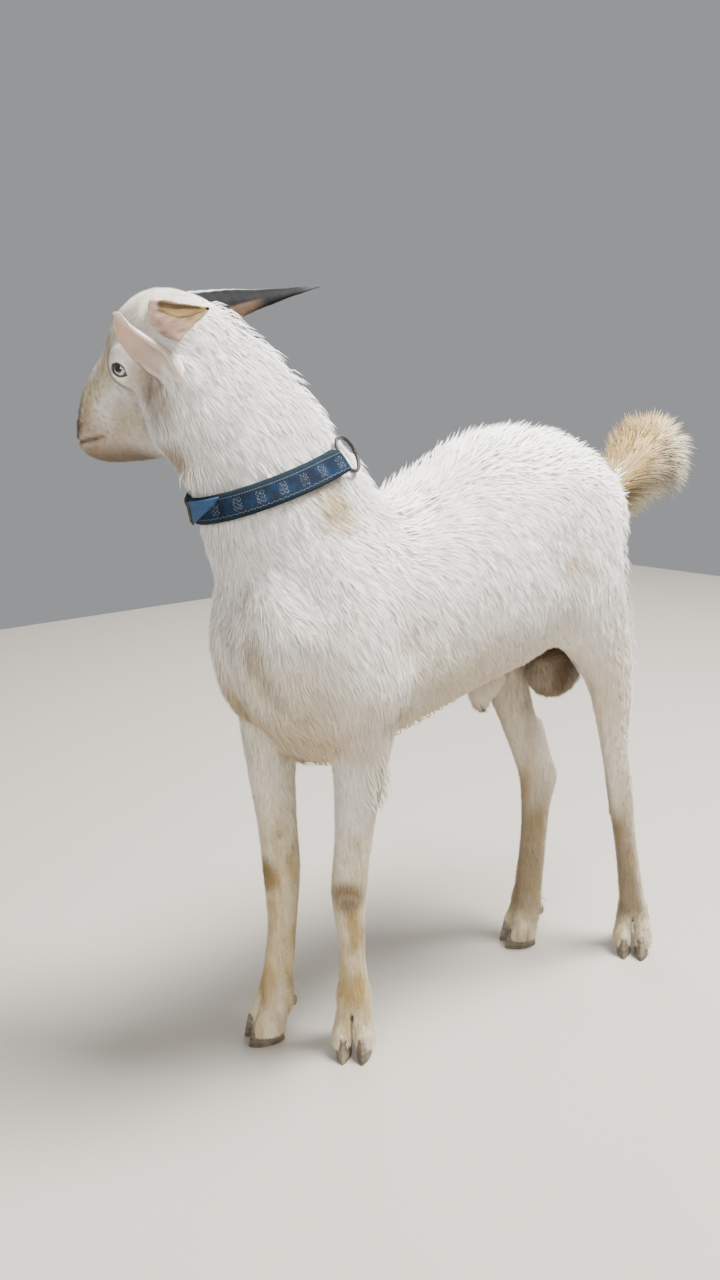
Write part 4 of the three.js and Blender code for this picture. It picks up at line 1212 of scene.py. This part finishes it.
shade = rng.uniform(0.88, 1.05, len(root)) * (1 + 0.14 * hairy * (even - 0.5))
# Painted shadow between locks: blades darker towards the edges of their lock.
shade *= 1 - 0.16 * hairy * (np.abs(aside) / 2.2).clip(0, 1.3) ** 2
tone = marks_and_painted_shade(root, out, part, away) * shade[:, None]
dull = (rng.random(len(root)) < 0.09) * np.where(np.isin(part, LEG_PARTS), 0.3, 1.0)
tone *= 1 - dull[:, None] * np.array([0.16, 0.20, 0.28])
tones = tone[:, None] * np.array([0.80, 0.88, 0.80, 1.06])[None, :, None]
turned = across * (odd - 0.5)[:, None] + lay * (even - 0.6)[:, None]
turned *= (0.3 + 0.7 * (hairy == 1))[:, None]
normals = soft_normals(out + 0.6 * turned, across, 1)
run, turn = on_map(part, root)
x, near_side = root[:, 0], (root - POLL) @ OUT > 0
trunk = np.isin(part, [TRUNK_PART, DOCK_PART, SCROTUM_PART, SHEATH_PART])
groups = {"face": (part == HEAD_PART) & near_side, "face_far": (part == HEAD_PART) & ~near_side,
          "ears": part > SHEATH_PART, "neck": part == NECK_PART,
          "chest": trunk & (x < -110), "barrel": trunk & (x >= -110) & (x < 60),
          "rump": trunk & (x >= 60), **{name: part == q for name, q in zip(LEGS, LEG_PARTS)}}
for name, mine in groups.items():
    coat_piece("coat_" + name, points[mine], triangles, tones[mine], normals[mine], run[mine], turn[mine])

# The fringe: bent locks along the nape, back and rump, on the throat, elbows, belly, groin and
# fetlocks and on the backs of the thighs. None ends on the strap of the collar.
root, out, part, away = sown(150000 if fine else 40000, np.ones(len(skin_faces)))
x, y, z = root.T
ridge = np.exp(-((y - 12) / 80) ** 2) * ease(out[:, 2] + 0.7 * out[:, 0], 0.35, 0.7)
ridge *= np.isin(part, [TRUNK_PART, DOCK_PART])
nape_line = 35 * ease(-x, 200, 310)
nape = np.exp(-((y - nape_line) / 20) ** 2) * ease(out[:, 0] + 0.5 * out[:, 2], 0.6, 0.95)
nape *= part == NECK_PART
throat = near_spot(root, (-324, -12, 722), (26, 40, 26)) * np.isin(part, [HEAD_PART, NECK_PART])
elbows = near_spot(root, (-156, -66, 372), (28, 36, 48)) + near_spot(root, (-195, 75, 400), (30, 40, 40))
belly = ease(-out[:, 2], 0.55, 0.9) * ease(-z, -460, -420) * (part == TRUNK_PART)
thigh = ease(out[:, 0], 0.5, 0.9) * ease(z, 380, 470) * ease(x, 150, 210)
groin = near_spot(root, (196, -74, 470), (26, 40, 34)) + near_spot(root, (196, 74, 470), (26, 40, 34))
heels = 0.0
for leg in LEGS:
    heel = joint(leg, FETLOCK) - foot_frame(leg)[0] * 18 - [0, 0, 4]
    heels = heels + near_spot(root, heel, (22, 22, 20))
amount = (ridge + nape + throat + elbows + 0.35 * belly + 0.8 * thigh + groin + heels).clip(0, 1)
stray = 0.05 * np.isin(part, [NECK_PART, TRUNK_PART]) + 0.06 * np.isin(part, LEG_PARTS)
keep = (z > 34) & (rng.random(len(root)) < amount * 0.8 + stray)
rise = np.where(part == NECK_PART, 9 + 14 * throat, 20)
root, out, part, away, amount, rise = kept(keep, root, out, part, away, amount, rise)
ways, length, width, depth = coat_facts(root, out, away)
lay = lay_along(ways, out, root, 0.22)
inward = gathered(root * DRAWN, 8, 71)[0]
length *= rng.uniform(0.9, 1.4, len(root)) * (1 + 0.35 * amount)
width *= rng.uniform(0.45, 0.7, len(root))
spiky = (rng.random(len(root)) < 0.25) * amount * rise
width *= np.where(spiky > 4, 2.2, 1)
stand = depth * rng.uniform(0.85, 1.15, len(root)) + spiky * rng.uniform(0.4, 1, len(root))
stand = np.where(np.isin(part, LEG_PARTS), stand * 0.8, stand)
across = np.cross(out, lay)
middle, tip = root + lay * (length * 0.5)[:, None], root + lay * length[:, None]
tip += across * (inward * across).sum(1)[:, None] * 0.35
middle += out * (stand * 0.75 - flesh(middle))[:, None].clip(-12, 12)
tip += out * (stand - flesh(tip))[:, None].clip(-14, 24)
clear = np.abs((tip - STRAP_AT) @ STRAP_UP) > STRAP_HALF + 3
clear |= np.linalg.norm(tip - STRAP_AT, axis=1) > STRAP_REACH
root, out, part, away, tip, middle, width, across = kept(
    clear, root, out, part, away, tip, middle, width, across)
centres = np.stack([root - out * 0.8, middle], 1)
points, triangles = in_rings(centres, across, out, width * 0.8, width * 0.3, tip)
tone = marks_and_painted_shade(root, out, part, away) * rng.uniform(0.94, 1.05, (len(root), 1))
tones = tone[:, None] * np.array([0.86, 0.9, 0.86, 0.98, 1.0, 0.98, 1.04])[None, :, None]
coat_piece("coat_fringe", points, triangles, tones, soft_normals(out, across, 2), *on_map(part, root))

# The feet: longer locks that hang from the pasterns over the upper part of the hooves.
weight = (skin_points[:, 2] < 62) * np.isin(skin_part, LEG_PARTS) * 1.0
root, out, part, away = sown(22000 if fine else 7000, weight[skin_faces[:, 0]])
inward, odd, even = gathered(root, 5, 81)
out = unit(out * [1, 1, 0.2])
lay = unit(out * 0.06 + [0, 0, -1] + rng.normal(0, 0.1, root.shape))
length = rng.uniform(13, 22, len(root)) * (0.75 + 0.4 * odd)
length = np.minimum(length, (root[:, 2] - 13) * rng.uniform(0.85, 1.1, len(root)))
keep = (root[:, 2] > 18) & (length > 5)
for leg in LEGS:
    _, side, foot = foot_frame(leg)
    aside = (root - foot) @ side
    keep &= (np.linalg.norm((root - foot)[:, :2], axis=1) > 60) | (np.abs(aside) > 3.2)
root, out, part, away, lay, length, inward, even = kept(
    keep, root, out, part, away, lay, length, inward, even)
across = unit(np.cross(out, lay))
middle = root + lay * (length * 0.5)[:, None] + out * (0.04 * length)[:, None]
tip = root + lay * length[:, None] + across * (inward * across).sum(1)[:, None] * 0.5
centres = np.stack([root - out * 0.6, middle], 1)
size = rng.uniform(0.9, 1.5, len(root))
points, triangles = in_rings(centres, across, out, size, size * 0.35, tip)
shade = rng.uniform(0.9, 1.05, len(root)) * (0.9 + 0.14 * even)
tone = marks_and_painted_shade(root, out, part, away) * shade[:, None]
tones = tone[:, None] * np.array([0.82, 0.88, 0.82, 0.95, 1.0, 0.95, 1.06])[None, :, None]
coat_piece("coat_feet", points, triangles, tones, soft_normals(out, across, 2), *on_map(part, root))

# ---------------------------------------------------------------- tail
# The tail stands up and back from the rump, and its long hair opens into a fan round the
# bone. Each lock leaves the bone along the tail and bends out to the edge of the fan.
TAIL_WAY = np.array([0.807, 0, 0.591])
FAN, TUFT = ((370, 0, 699), (84, 56, 71)), ((334, 0, 656), (44, 34, 44))
count = 6400 if fine else 2500
spot = unit(rng.normal(size=(count, 3)))
lower = rng.random(count) < 0.22
centre = np.where(lower[:, None], TUFT[0], FAN[0])
target = centre + spot * np.where(lower[:, None], TUFT[1], FAN[1])
inner = np.where(lower, egg(*FAN)(target), egg(*TUFT)(target))
wisp = ripple(spot * 60, 26, 51)[:, None]
filled = (rng.uniform(0.66, 1.0, (count, 1)) ** 0.8 + 0.05 * wisp).clip(0.5, 1.12)
target = centre + (target - centre) * filled
reach = (target - TAIL_START) @ TAIL_WAY
held = np.clip(reach - 52 + rng.normal(0, 8, count), -6, 108)
good = (inner > -12) & (target[:, 0] > 285) & (reach > 12)
target, held, wisp, reach = kept(good, target, held, wisp, reach)
root = TAIL_START + TAIL_WAY * held[:, None]
root += unit(target - root) * 5
span = np.linalg.norm(target - root, axis=1)[:, None]
bend = root + TAIL_WAY * span * 0.42 + unit(target - root) * span * 0.1
t = np.array([0, 0.3, 0.58, 0.82])[None, :, None]
centres = root[:, None] * (1 - t) ** 2 + 2 * bend[:, None] * t * (1 - t) + target[:, None] * t * t
ahead = np.gradient(centres, axis=1)
outward = unit(target - (TAIL_START + TAIL_WAY * reach[:, None]))
sides = unit(np.cross(outward[:, None], ahead))
tops = unit(np.cross(ahead, sides))
size = rng.uniform(1.4, 2.6, (len(root), 1)) * np.array([0.7, 1, 0.85, 0.5])
points, faces = in_rings(centres, sides, tops, size, size * 0.35, target)
away = (target - np.array(FAN[0])) / np.array(FAN[1])
golden = ease(-away[:, 0] + 0.45 * away[:, 2], -0.5, 0.7)[:, None]
share = np.append(np.repeat(t.ravel(), 3), 1.0)[None]
amount = (ease(share, 0.35, 1.0) * (0.3 + 0.6 * golden) + 0.4 * golden).clip(0, 1)[..., None]
own = rng.uniform(0.55, 1.08, (len(root), 1, 1)) * (1 + 0.1 * wisp[:, None])
tones = (sheer(240, 230, 202) * (1 - amount) + sheer(176, 146, 92) * amount) * own
end = ease(reach, 90, 150)[:, None]
facing = outward * (0.7 - 0.5 * end) + TAIL_WAY * 0.9 * end + [0, 0, 0.3]
normals = np.repeat(unit(facing + 0.4 * tops.mean(1)), points.shape[1], 0)
run, turn = rolled_out("dock", root)
coat_piece("tail_locks", points, faces, tones, normals, run, turn % 1)

# ---------------------------------------------------------------- eyes
# Each eye is a ball with a slightly raised cornea: a wide dark pupil that lies along the slit
# of the lids, in a pale grey iris with a dark rim. The lids' edges are dark and moist.
def angles(count):
    """Evenly spaced angles once round."""
    return np.arange(count) / count * 2 * math.pi


def globe(rows, sides):
    """Angles from pole to pole and round about, as two grids."""
    return np.meshgrid(np.linspace(0, math.pi, rows), angles(sides), indexing="ij")


def closed_off(rings):
    """The rings with one more at both ends that is drawn together to a point."""
    first, last = [r * 0 + r.mean(0) for r in (rings[0], rings[-1])]
    return np.stack([first, *rings, last])


def turned_shell(rings):
    """Four-sided faces over rings of points, closed round each ring."""
    count, sides = rings.shape[:2]
    a = np.arange(count - 1)[:, None] * sides
    k, n = np.arange(sides)[None], (np.arange(sides)[None] + 1) % sides
    return np.stack([a + k, a + n, a + sides + n, a + sides + k], -1).reshape(-1, 4)


def tube(name, line, radius, sides=10):
    """A closed loop of round wire along a closed line of points."""
    ahead = unit(np.roll(line, -1, 0) - np.roll(line, 1, 0))
    side = unit(np.cross(ahead, line - line.mean(0)))
    other = np.cross(ahead, side)
    a = angles(sides)
    radius = np.broadcast_to(radius, len(line))[:, None, None]
    rings = line[:, None] + radius * (side[:, None] * np.cos(a)[None, :, None]
                                      + other[:, None] * np.sin(a)[None, :, None])
    rings = np.concatenate([rings, rings[:1]])
    return built(name, rings.reshape(-1, 3), turned_shell(rings))


for name, s in (("left", 1), ("right", -1)):
    centre, out, slit, lift = eye_frame(s)
    phi, theta = globe(40, 56)
    r = EYE_RADIUS - 0.3 + 0.6 * np.exp(-(phi / 0.45) ** 2)
    x, y, z = r * np.sin(phi) * np.cos(theta), r * np.sin(phi) * np.sin(theta), r * np.cos(phi)
    rings = centre + x[..., None] * slit + y[..., None] * lift + z[..., None] * out
    ball = built("eyeball_" + name, rings.reshape(-1, 3), turned_shell(rings))
    tell(ball, "gaze", np.stack([x, y, z], -1).reshape(-1, 3))
    web = Web("eye")
    x, y, z = web.told("gaze", "Vector").apart()
    away = (x * x + y * y).of("SQRT")
    wide, tall = ((x - 1.0) / 4.9).of("ABSOLUTE"), ((y - 1.2) / 3.9).of("ABSOLUTE")
    pupil = 1 - (wide ** 3.0 + tall ** 3.0).step(0.8, 1.15)
    streaks = web.noise(web.told("gaze", "Vector"), 1.6, 3)
    iris = web.mix(streaks, sheer(140, 140, 138), sheer(214, 212, 206))
    iris = web.mix(away.step(5.6, 6.8), iris, sheer(70, 62, 58))
    white = web.mix(away.step(6.9, 7.6), iris, sheer(104, 86, 76))
    colour = web.mix(pupil * z.step(0, 1), white, (0.004, 0.004, 0.006))
    web.finish(ball, base_color=colour, roughness=0.12, coat_weight=1.0, coat_roughness=0.03)
    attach(ball, "root")
    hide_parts("eye_" + name)

    a = angles(72)
    x, y = LID_HALF[0] * np.cos(a), LID_HALF[1] * np.sin(a)
    z = np.sqrt((EYE_RADIUS + 0.8) ** 2 - x * x - y * y)
    edge = centre + x[:, None] * slit + y[:, None] * lift + z[:, None] * out
    lids = tube("lids_" + name, edge, 1.1 + 0.3 * np.cos(a) ** 4)
    web = Web("lid")
    web.finish(lids, base_color=sheer(66, 56, 54), roughness=0.35)
    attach(lids, "root")

# ---------------------------------------------------------------- horns
# Each horn is a flat twisted blade with growth rings. The left one is pinkish, with a yellow face; the right
# one is dark, with a painted highlight along its upper edge and a brown lower edge.
def even_line(stations, count):
    """Evenly spaced points along the smooth line through the stations, and its directions."""
    line = smooth_line(stations, 24)
    run = run_along(line)
    at = np.linspace(0, run[-1], count)
    points = np.stack([np.interp(at, run, line[:, q]) for q in range(3)], 1)
    return points, unit(np.gradient(points, axis=0))


def between(t, values):
    """Values at evenly spaced marks, with a half-softened run from mark to mark."""
    values = np.asarray(values, float)
    x = np.clip(t * (len(values) - 1), 0, len(values) - 1)
    i = np.minimum(x.astype(int), len(values) - 2)
    f = x - i
    return values[i] + (values[i + 1] - values[i]) * (0.5 * f + 0.5 * f * f * (3 - 2 * f))


HORN_TALL, HORN_THICK = [16, 21, 17, 11, 6, 1.6], [15, 13, 10, 6.5, 3.4, 1.2]
HORN_TWIST, HORN_LEAN, HORN_SWEEP = math.radians(60), math.radians(14), {1: 0.73, -1: 1.08}
HORN_LINE = np.array([[12, 12, -36], [0, 38, -30], [-24, 66, -25], [-54, 92, -21], [-84, 120, -17],
                      [-110, 155, -14]], float)
for name, s in (("left", 1), ("right", -1)):
    f, l, u = HORN_LINE.T
    line, axis = even_line(head(12 + (f - 12) * HORN_SWEEP[s], s * l, u), 120)
    t, a = np.meshgrid(np.linspace(0, 1, 120), angles(64), indexing="ij")
    up = unit(UP - axis * (axis @ UP)[:, None])
    side = np.cross(axis, up)
    roll = -s * (HORN_TWIST * t + HORN_LEAN)
    rings = 1 + (0.018 * np.sin(t * 95 + 1.5 * np.sin(a)) + 0.012 * np.sin(t * 37 + a)) * ease(-t, -0.9, -0.1)
    tall, thick = between(t, HORN_TALL) * rings, between(t, HORN_THICK) * rings
    x, y = thick * np.cos(a), tall * np.sin(a) * (1 - 0.12 * np.cos(2 * a))
    points = (line[:, None] + side[:, None] * (x * np.cos(roll) - y * np.sin(roll))[..., None]
              + up[:, None] * (x * np.sin(roll) + y * np.cos(roll))[..., None])
    horn = built("horn_shell_" + name, points.reshape(-1, 3), turned_shell(points))
    high = (y / np.maximum(tall, 0.1)).ravel()
    t, a, face = t.ravel(), a.ravel(), (x / np.maximum(thick, 0.1)).ravel()
    p = points.reshape(-1, 3)
    streak = ripple(np.stack([t * 60, np.cos(a) * 30, np.sin(a) * 30], 1), 14, 41)[:, None]

    def over(base, colour, amount):
        """One colour laid over another by an amount from 0 to 1."""
        amount = np.clip(amount, 0, 1)[:, None]
        return base * (1 - amount) + np.asarray(colour) * amount
    if s > 0:
        tone = np.tile(sheer(206, 176, 164), (len(p), 1))
        tone = over(tone, sheer(204, 176, 140), ease(t, 0.3, 0.7))
        wedge = ease(t, 0.36, 0.68)
        edge, shown = 0.80 - 0.72 * wedge, ease(t, 0.34, 0.42) * ease(-t, -0.97, -0.88)
        tone = over(tone, sheer(176, 150, 104), ease(high - edge, 0.0, 0.08) * ease(t, 0.34, 0.42))
        tone = over(tone, sheer(58, 46, 36), np.exp(-((high - edge) / 0.06) ** 2) * shown * 0.9)
        tone = over(tone, sheer(66, 54, 42), ease(high, 0.88, 0.98) * shown * 0.85)
    else:
        tone = np.tile(sheer(14, 14, 16), (len(p), 1))
        # Painted highlight along the upper edge.
        tone = over(tone, sheer(150, 160, 168), ease(high, 0.84, 0.92) * ease(t, 0.05, 0.15))
        tone = over(tone, sheer(96, 76, 60), ease(-high, 0.4, 0.6) * ease(-t, -0.62, -0.42) * 0.8)
        tone = over(tone, sheer(70, 72, 74), ease(t, 0.8, 1.0) * 0.7)
    tell(horn, "tone", tone * (1 + 0.22 * streak))
    web = Web("horn")
    grain = web.noise(web.place(), 260, 4)
    web.bump(grain, 0.0008, 0.5)
    web.finish(horn, base_color=web.told("tone") * (0.8 + grain * 0.35), roughness=0.6 + grain * 0.15,
               specular_ior_level=0.08)
    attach(horn, "root")
    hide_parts("horn_" + name)

# ---------------------------------------------------------------- hooves and dew claws
# Two claws on each foot, flat below and sloped at the crown, with a hard wall that bears
# faint level rings. Two small claws hang behind the fetlock.
def horn_web(thing, light, dark, band):
    """Pale horn with level growth bands and scuffs."""
    web = Web("hoof")
    place = web.place()
    grain = web.noise(place, 320, 4)
    level = (place.apart()[2] * band + grain * 2).of("SINE") * 0.5 + 0.5
    web.bump(level + grain * 0.6, 0.0004, 0.4)
    wear = web.noise(place, 60, 3)
    web.finish(thing, base_color=web.mix(wear.step(0.3, 0.7) * 0.6 + level * 0.2 + grain * 0.15, dark, light),
               roughness=0.5 + grain * 0.2)
    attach(thing, "root")


for leg in LEGS:
    leg_side = LEGS[leg][0]
    way, side, foot = foot_frame(leg)
    for claw, s in (("inner", -leg_side), ("outer", leg_side)):
        a, rings = angles(40), []
        for t in np.concatenate([np.linspace(0, 0.1, 3), np.linspace(0.2, 1, 8)]):
            worn = 0.9 * (1 - min(t / 0.06, 1)) ** 2
            half = HOOF_LENGTH / 2 * (1 - 0.18 * t) - worn
            width = HOOF_WIDTH / 2 * (1 - 0.04 * t) * (1 + 0.05 * math.sin(math.pi * t)) - worn
            nose = 1 - 0.35 * np.maximum(np.cos(a), 0) ** 2
            f = np.cos(a) * half - 3 * t
            sideways = np.sin(a) * nose * np.where(np.sin(a) < 0, 0.85, 1) * width
            z = (HOOF_HEIGHT + HOOF_SLOPE * f - 0.3) * t
            rings.append(foot + side * s * (HOOF_SPREAD + sideways[:, None]) + way * f[:, None]
                         + z[:, None] * [0, 0, 1])
        rings = closed_off(rings)
        hoof = built(f"hoof_{leg}_{claw}", rings.reshape(-1, 3), turned_shell(rings))
        horn_web(hoof, sheer(136, 122, 104), sheer(60, 52, 44), 900)
        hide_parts(f"{leg}_hoof_{claw}")
        phi, theta = globe(14, 20)
        r = 5 * np.sin(phi) * (1 + 0.08 * np.cos(phi))
        centre = joint(leg, FETLOCK) - way * 18 + side * s * 9 - [0, 0, 18]
        rings = centre + np.stack([r * np.cos(theta), r * np.sin(theta), 7.5 * np.cos(phi)], -1)
        dew = built(f"dew_{leg}_{claw}", rings.reshape(-1, 3), turned_shell(rings))
        horn_web(dew, sheer(150, 132, 108), sheer(104, 88, 70), 1200)
        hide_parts(f"{leg}_dew_claw_{claw}")

# ---------------------------------------------------------------- collar
# A woven strap, 28 mm wide, round the neck: blue cloth, darker borders, a line of stitches
# inside each border and a row of stitched zigzag marks. Its ends are sewn round an iron ring.
STRAP_BACK = np.array([math.cos(STRAP_TILT), 0, math.sin(STRAP_TILT)])
STRAP_THICK, STRAP_CLEAR = 2.6, 2.6
COLLAR_NEAR, COLLAR_FAR, HALVINGS = 20.0, 200.0, 18


def outline(p):
    """Distance to the outside of the coat: the masses at their full size."""
    d = blended(trunk_mass(p), neck_mass(p), 30)
    for mass in leg_masses.values():
        d = blended(d, mass(p), 18)
    return blended(d, head_mass(p), 26)


def on_collar(angle, up, off):
    """Points by the angle round the neck, the height on the strap and the height off it: each
    is halved in on from far out, to where the coat's outside is the strap's clearance away."""
    angle, up, off = [v.ravel() for v in np.broadcast_arrays(angle, up, off)]
    way = STRAP_BACK * np.cos(angle)[:, None] + np.array([0, 1.0, 0]) * np.sin(angle)[:, None]
    start = STRAP_AT + STRAP_UP * up[:, None]
    near, far = np.full(len(angle), COLLAR_NEAR), np.full(len(angle), COLLAR_FAR)
    for _ in range(HALVINGS):
        middle = (near + far) / 2
        inside = outline(start + way * middle[:, None]) < STRAP_CLEAR
        near, far = np.where(inside, middle, near), np.where(inside, far, middle)
    return start + way * (near + off)[:, None]


def strap(name, start, end, count, low, high, inner, outer):
    """A band on the coat from one angle to another, between heights low and high and between
    two layers: rounded at its edges, with its run, height and layer told in millimetres."""
    t = np.linspace(0, 1, count)
    angle = start + (end - start) * t
    over, under = np.linspace(-1, 1, 13), np.linspace(1, -1, 7)
    across = np.concatenate([over, under])
    lift = np.concatenate([np.sqrt(1 - over**8 * 0.9), 0 * under])
    low, high, inner, outer = [np.broadcast_to(v, count)[:, None] for v in (low, high, inner, outer)]
    up = (low + high) / 2 + (high - low) / 2 * across
    off = inner + (outer - inner) * lift
    points = on_collar(angle[:, None], up, off).reshape(*up.shape, 3)
    run = run_along(points[:, len(over) // 2])
    told = np.stack(np.broadcast_arrays(run[:, None], up, off), -1)
    told = np.concatenate([told[:1], told, told[-1:]])
    points = closed_off(points)
    thing = built(name, points.reshape(-1, 3), turned_shell(points))
    tell(thing, "cloth", told.reshape(-1, 3))
    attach(thing, "root")
    return thing


START, END = math.radians(-42), math.radians(-352)
count = 260
angle = np.linspace(START, END, count)
pocket = np.maximum(0, 1 - np.minimum(START - angle, angle - END) / math.radians(14))
webbing = strap("webbing", START, END, count, -STRAP_HALF, STRAP_HALF, 0, STRAP_THICK + 7.5 * pocket)
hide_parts("collar_strap")
web = Web("webbing")
run, height, _ = web.told("cloth", "Vector").apart()
weave = (run * 5.2).of("SINE") * (height * 5.2).of("SINE")
patch = web.noise(web.place(), 90, 3)
cloth = web.mix(patch.step(0.3, 0.75), sheer(4, 22, 42), sheer(10, 44, 74))
border = height.of("ABSOLUTE").step(9.7, 10.1)
cloth = web.mix(border, cloth, web.mix(patch, sheer(6, 24, 36), sheer(14, 40, 54)))
wave = (run * 1.05).of("SINE") * height.of("LESS_THAN", 0) * 0.5
line_off = (height.of("ABSOLUTE") - 9.0 + wave).of("ABSOLUTE")
dash = (run * 2.1).of("SINE").step(-0.7, -0.3)
stitch = (1 - line_off.step(0.25, 0.6)) * dash
local = (run + 4).of("MODULO", 25) - 12.5
inside = (1 - local.of("ABSOLUTE").step(4.4, 5.2)) * (1 - height.of("ABSOLUTE").step(5.9, 6.6))
chevron = (height + local.of("PINGPONG", 2.4) * 1.25 + 20).of("MODULO", 3.6)
mark = inside * chevron.step(1.5, 1.9) * web.noise(web.place(), 700, 2).step(0.42, 0.58)
thread = (stitch * 0.85).of("MAXIMUM", mark * 0.9)
colour = web.mix(thread * 0.45, cloth * (0.86 + weave * 0.2), sheer(140, 144, 142))
web.bump(weave * 0.5 + thread + patch, 0.0006, 0.8)
web.finish(webbing, base_color=colour, roughness=0.85, specular_ior_level=0.25)

fold_t = np.linspace(0, 1, 40)
fold = strap("fold", math.radians(-158), math.radians(-184), 40, STRAP_HALF - 3 - 23 * fold_t ** 0.8,
             STRAP_HALF - 2, STRAP_THICK + 1.0, STRAP_THICK + 3.4)
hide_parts("collar_fold")
web = Web("fold")
run, height, _ = web.told("cloth", "Vector").apart()
weave = (run * 5.2).of("SINE") * (height * 5.2).of("SINE")
web.bump(weave, 0.0004, 0.7)
web.finish(fold, base_color=web.mix(web.noise(web.place(), 70, 3), sheer(20, 56, 98),
                                    sheer(40, 82, 128)), roughness=0.8, sheen_weight=0.04)

wrap = strap("wrap", math.radians(-186), math.radians(-206), 30, -STRAP_HALF, STRAP_HALF - 3,
             STRAP_THICK + 1.0, STRAP_THICK + 3.4)
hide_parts("collar_wrap")
web = Web("wrap")
run, height, _ = web.told("cloth", "Vector").apart()
grid = (run * 2.2).of("SINE").of("MAXIMUM", (height * 2.2).of("SINE")).step(0.82, 0.95)
web.bump(grid, 0.0005, 0.8)
web.finish(wrap, base_color=web.mix(grid * 0.6, sheer(36, 27, 21), sheer(120, 108, 84)),
           roughness=0.85)

low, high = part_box("collar_ring")
ring_at = ((np.array(low) + np.array(high)) / 2 - ORIGIN) * 1000
seat = np.array([[-166.0, -34.0, 732.0]])
facing = unit(np.stack([outline(seat + step) - outline(seat - step) for step in np.eye(3)], 1))[0]
side = unit(np.cross(facing, [0, 0, 1.0]))
a = angles(96)
circle = ring_at + 20 * (np.cos(a)[:, None] * side + np.sin(a)[:, None] * np.cross(side, facing))
ring = tube("ring", circle, 2.1 + 0.06 * np.sin(a * 7) + 0.05 * np.sin(a * 13), 14)
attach(ring, "root")
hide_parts("collar_ring")
web = Web("iron")
rust = web.noise(web.place(), 300, 4)
web.bump(rust, 0.0005, 0.6)
web.finish(ring, base_color=web.mix(rust.step(0.52, 0.75), sheer(58, 57, 58), sheer(96, 70, 54)),
           metallic=0.85 - rust.step(0.52, 0.75) * 0.6, roughness=0.42 + rust * 0.25)

# ---------------------------------------------------------------- floor and light
# A flat pale floor, a broad soft light from above, weaker ones from the front and from behind,
# and a weak even sky.
floor = built("floor", (np.array([[-3000, -3000, 0], [3000, -3000, 0], [3000, 3000, 0],
                                  [-3000, 3000, 0]]) - ORIGIN * 1000 * [0, 0, 1]), [[0, 1, 2, 3]], False)
web = Web("floor")
web.finish(floor, base_color=sheer(166, 160, 151), roughness=0.9)


def soft_light(name, at, towards, size, power, colour=(1, 1, 1)):
    """A square light of a size in metres that faces a place."""
    light = bpy.data.lights.new(name, "AREA")
    light.size, light.energy, light.color = size, power, colour
    thing = bpy.data.objects.new(name, light)
    thing.location = at
    way = Vector(towards) - Vector(at)
    thing.rotation_euler = way.to_track_quat("-Z", "Y").to_euler()
    bpy.context.scene.collection.objects.link(thing)


soft_light("key", (0.9, -0.9, 3.3), (0, 0, 0.5), 1.2, 540, (1, 0.99, 0.97))
soft_light("front", (-3.0, -2.4, 2.0), (0, 0, 0.5), 2.2, 130, (1, 0.97, 0.92))
soft_light("back", (1.8, 2.6, 2.6), (0, 0, 0.6), 2.0, 90)
world = bpy.data.worlds.new("sky")
world.use_nodes = True
world.node_tree.nodes["Background"].inputs[0].default_value = (0.9, 0.93, 0.96, 1)
world.node_tree.nodes["Background"].inputs[1].default_value = 0.36
bpy.context.scene.world = world
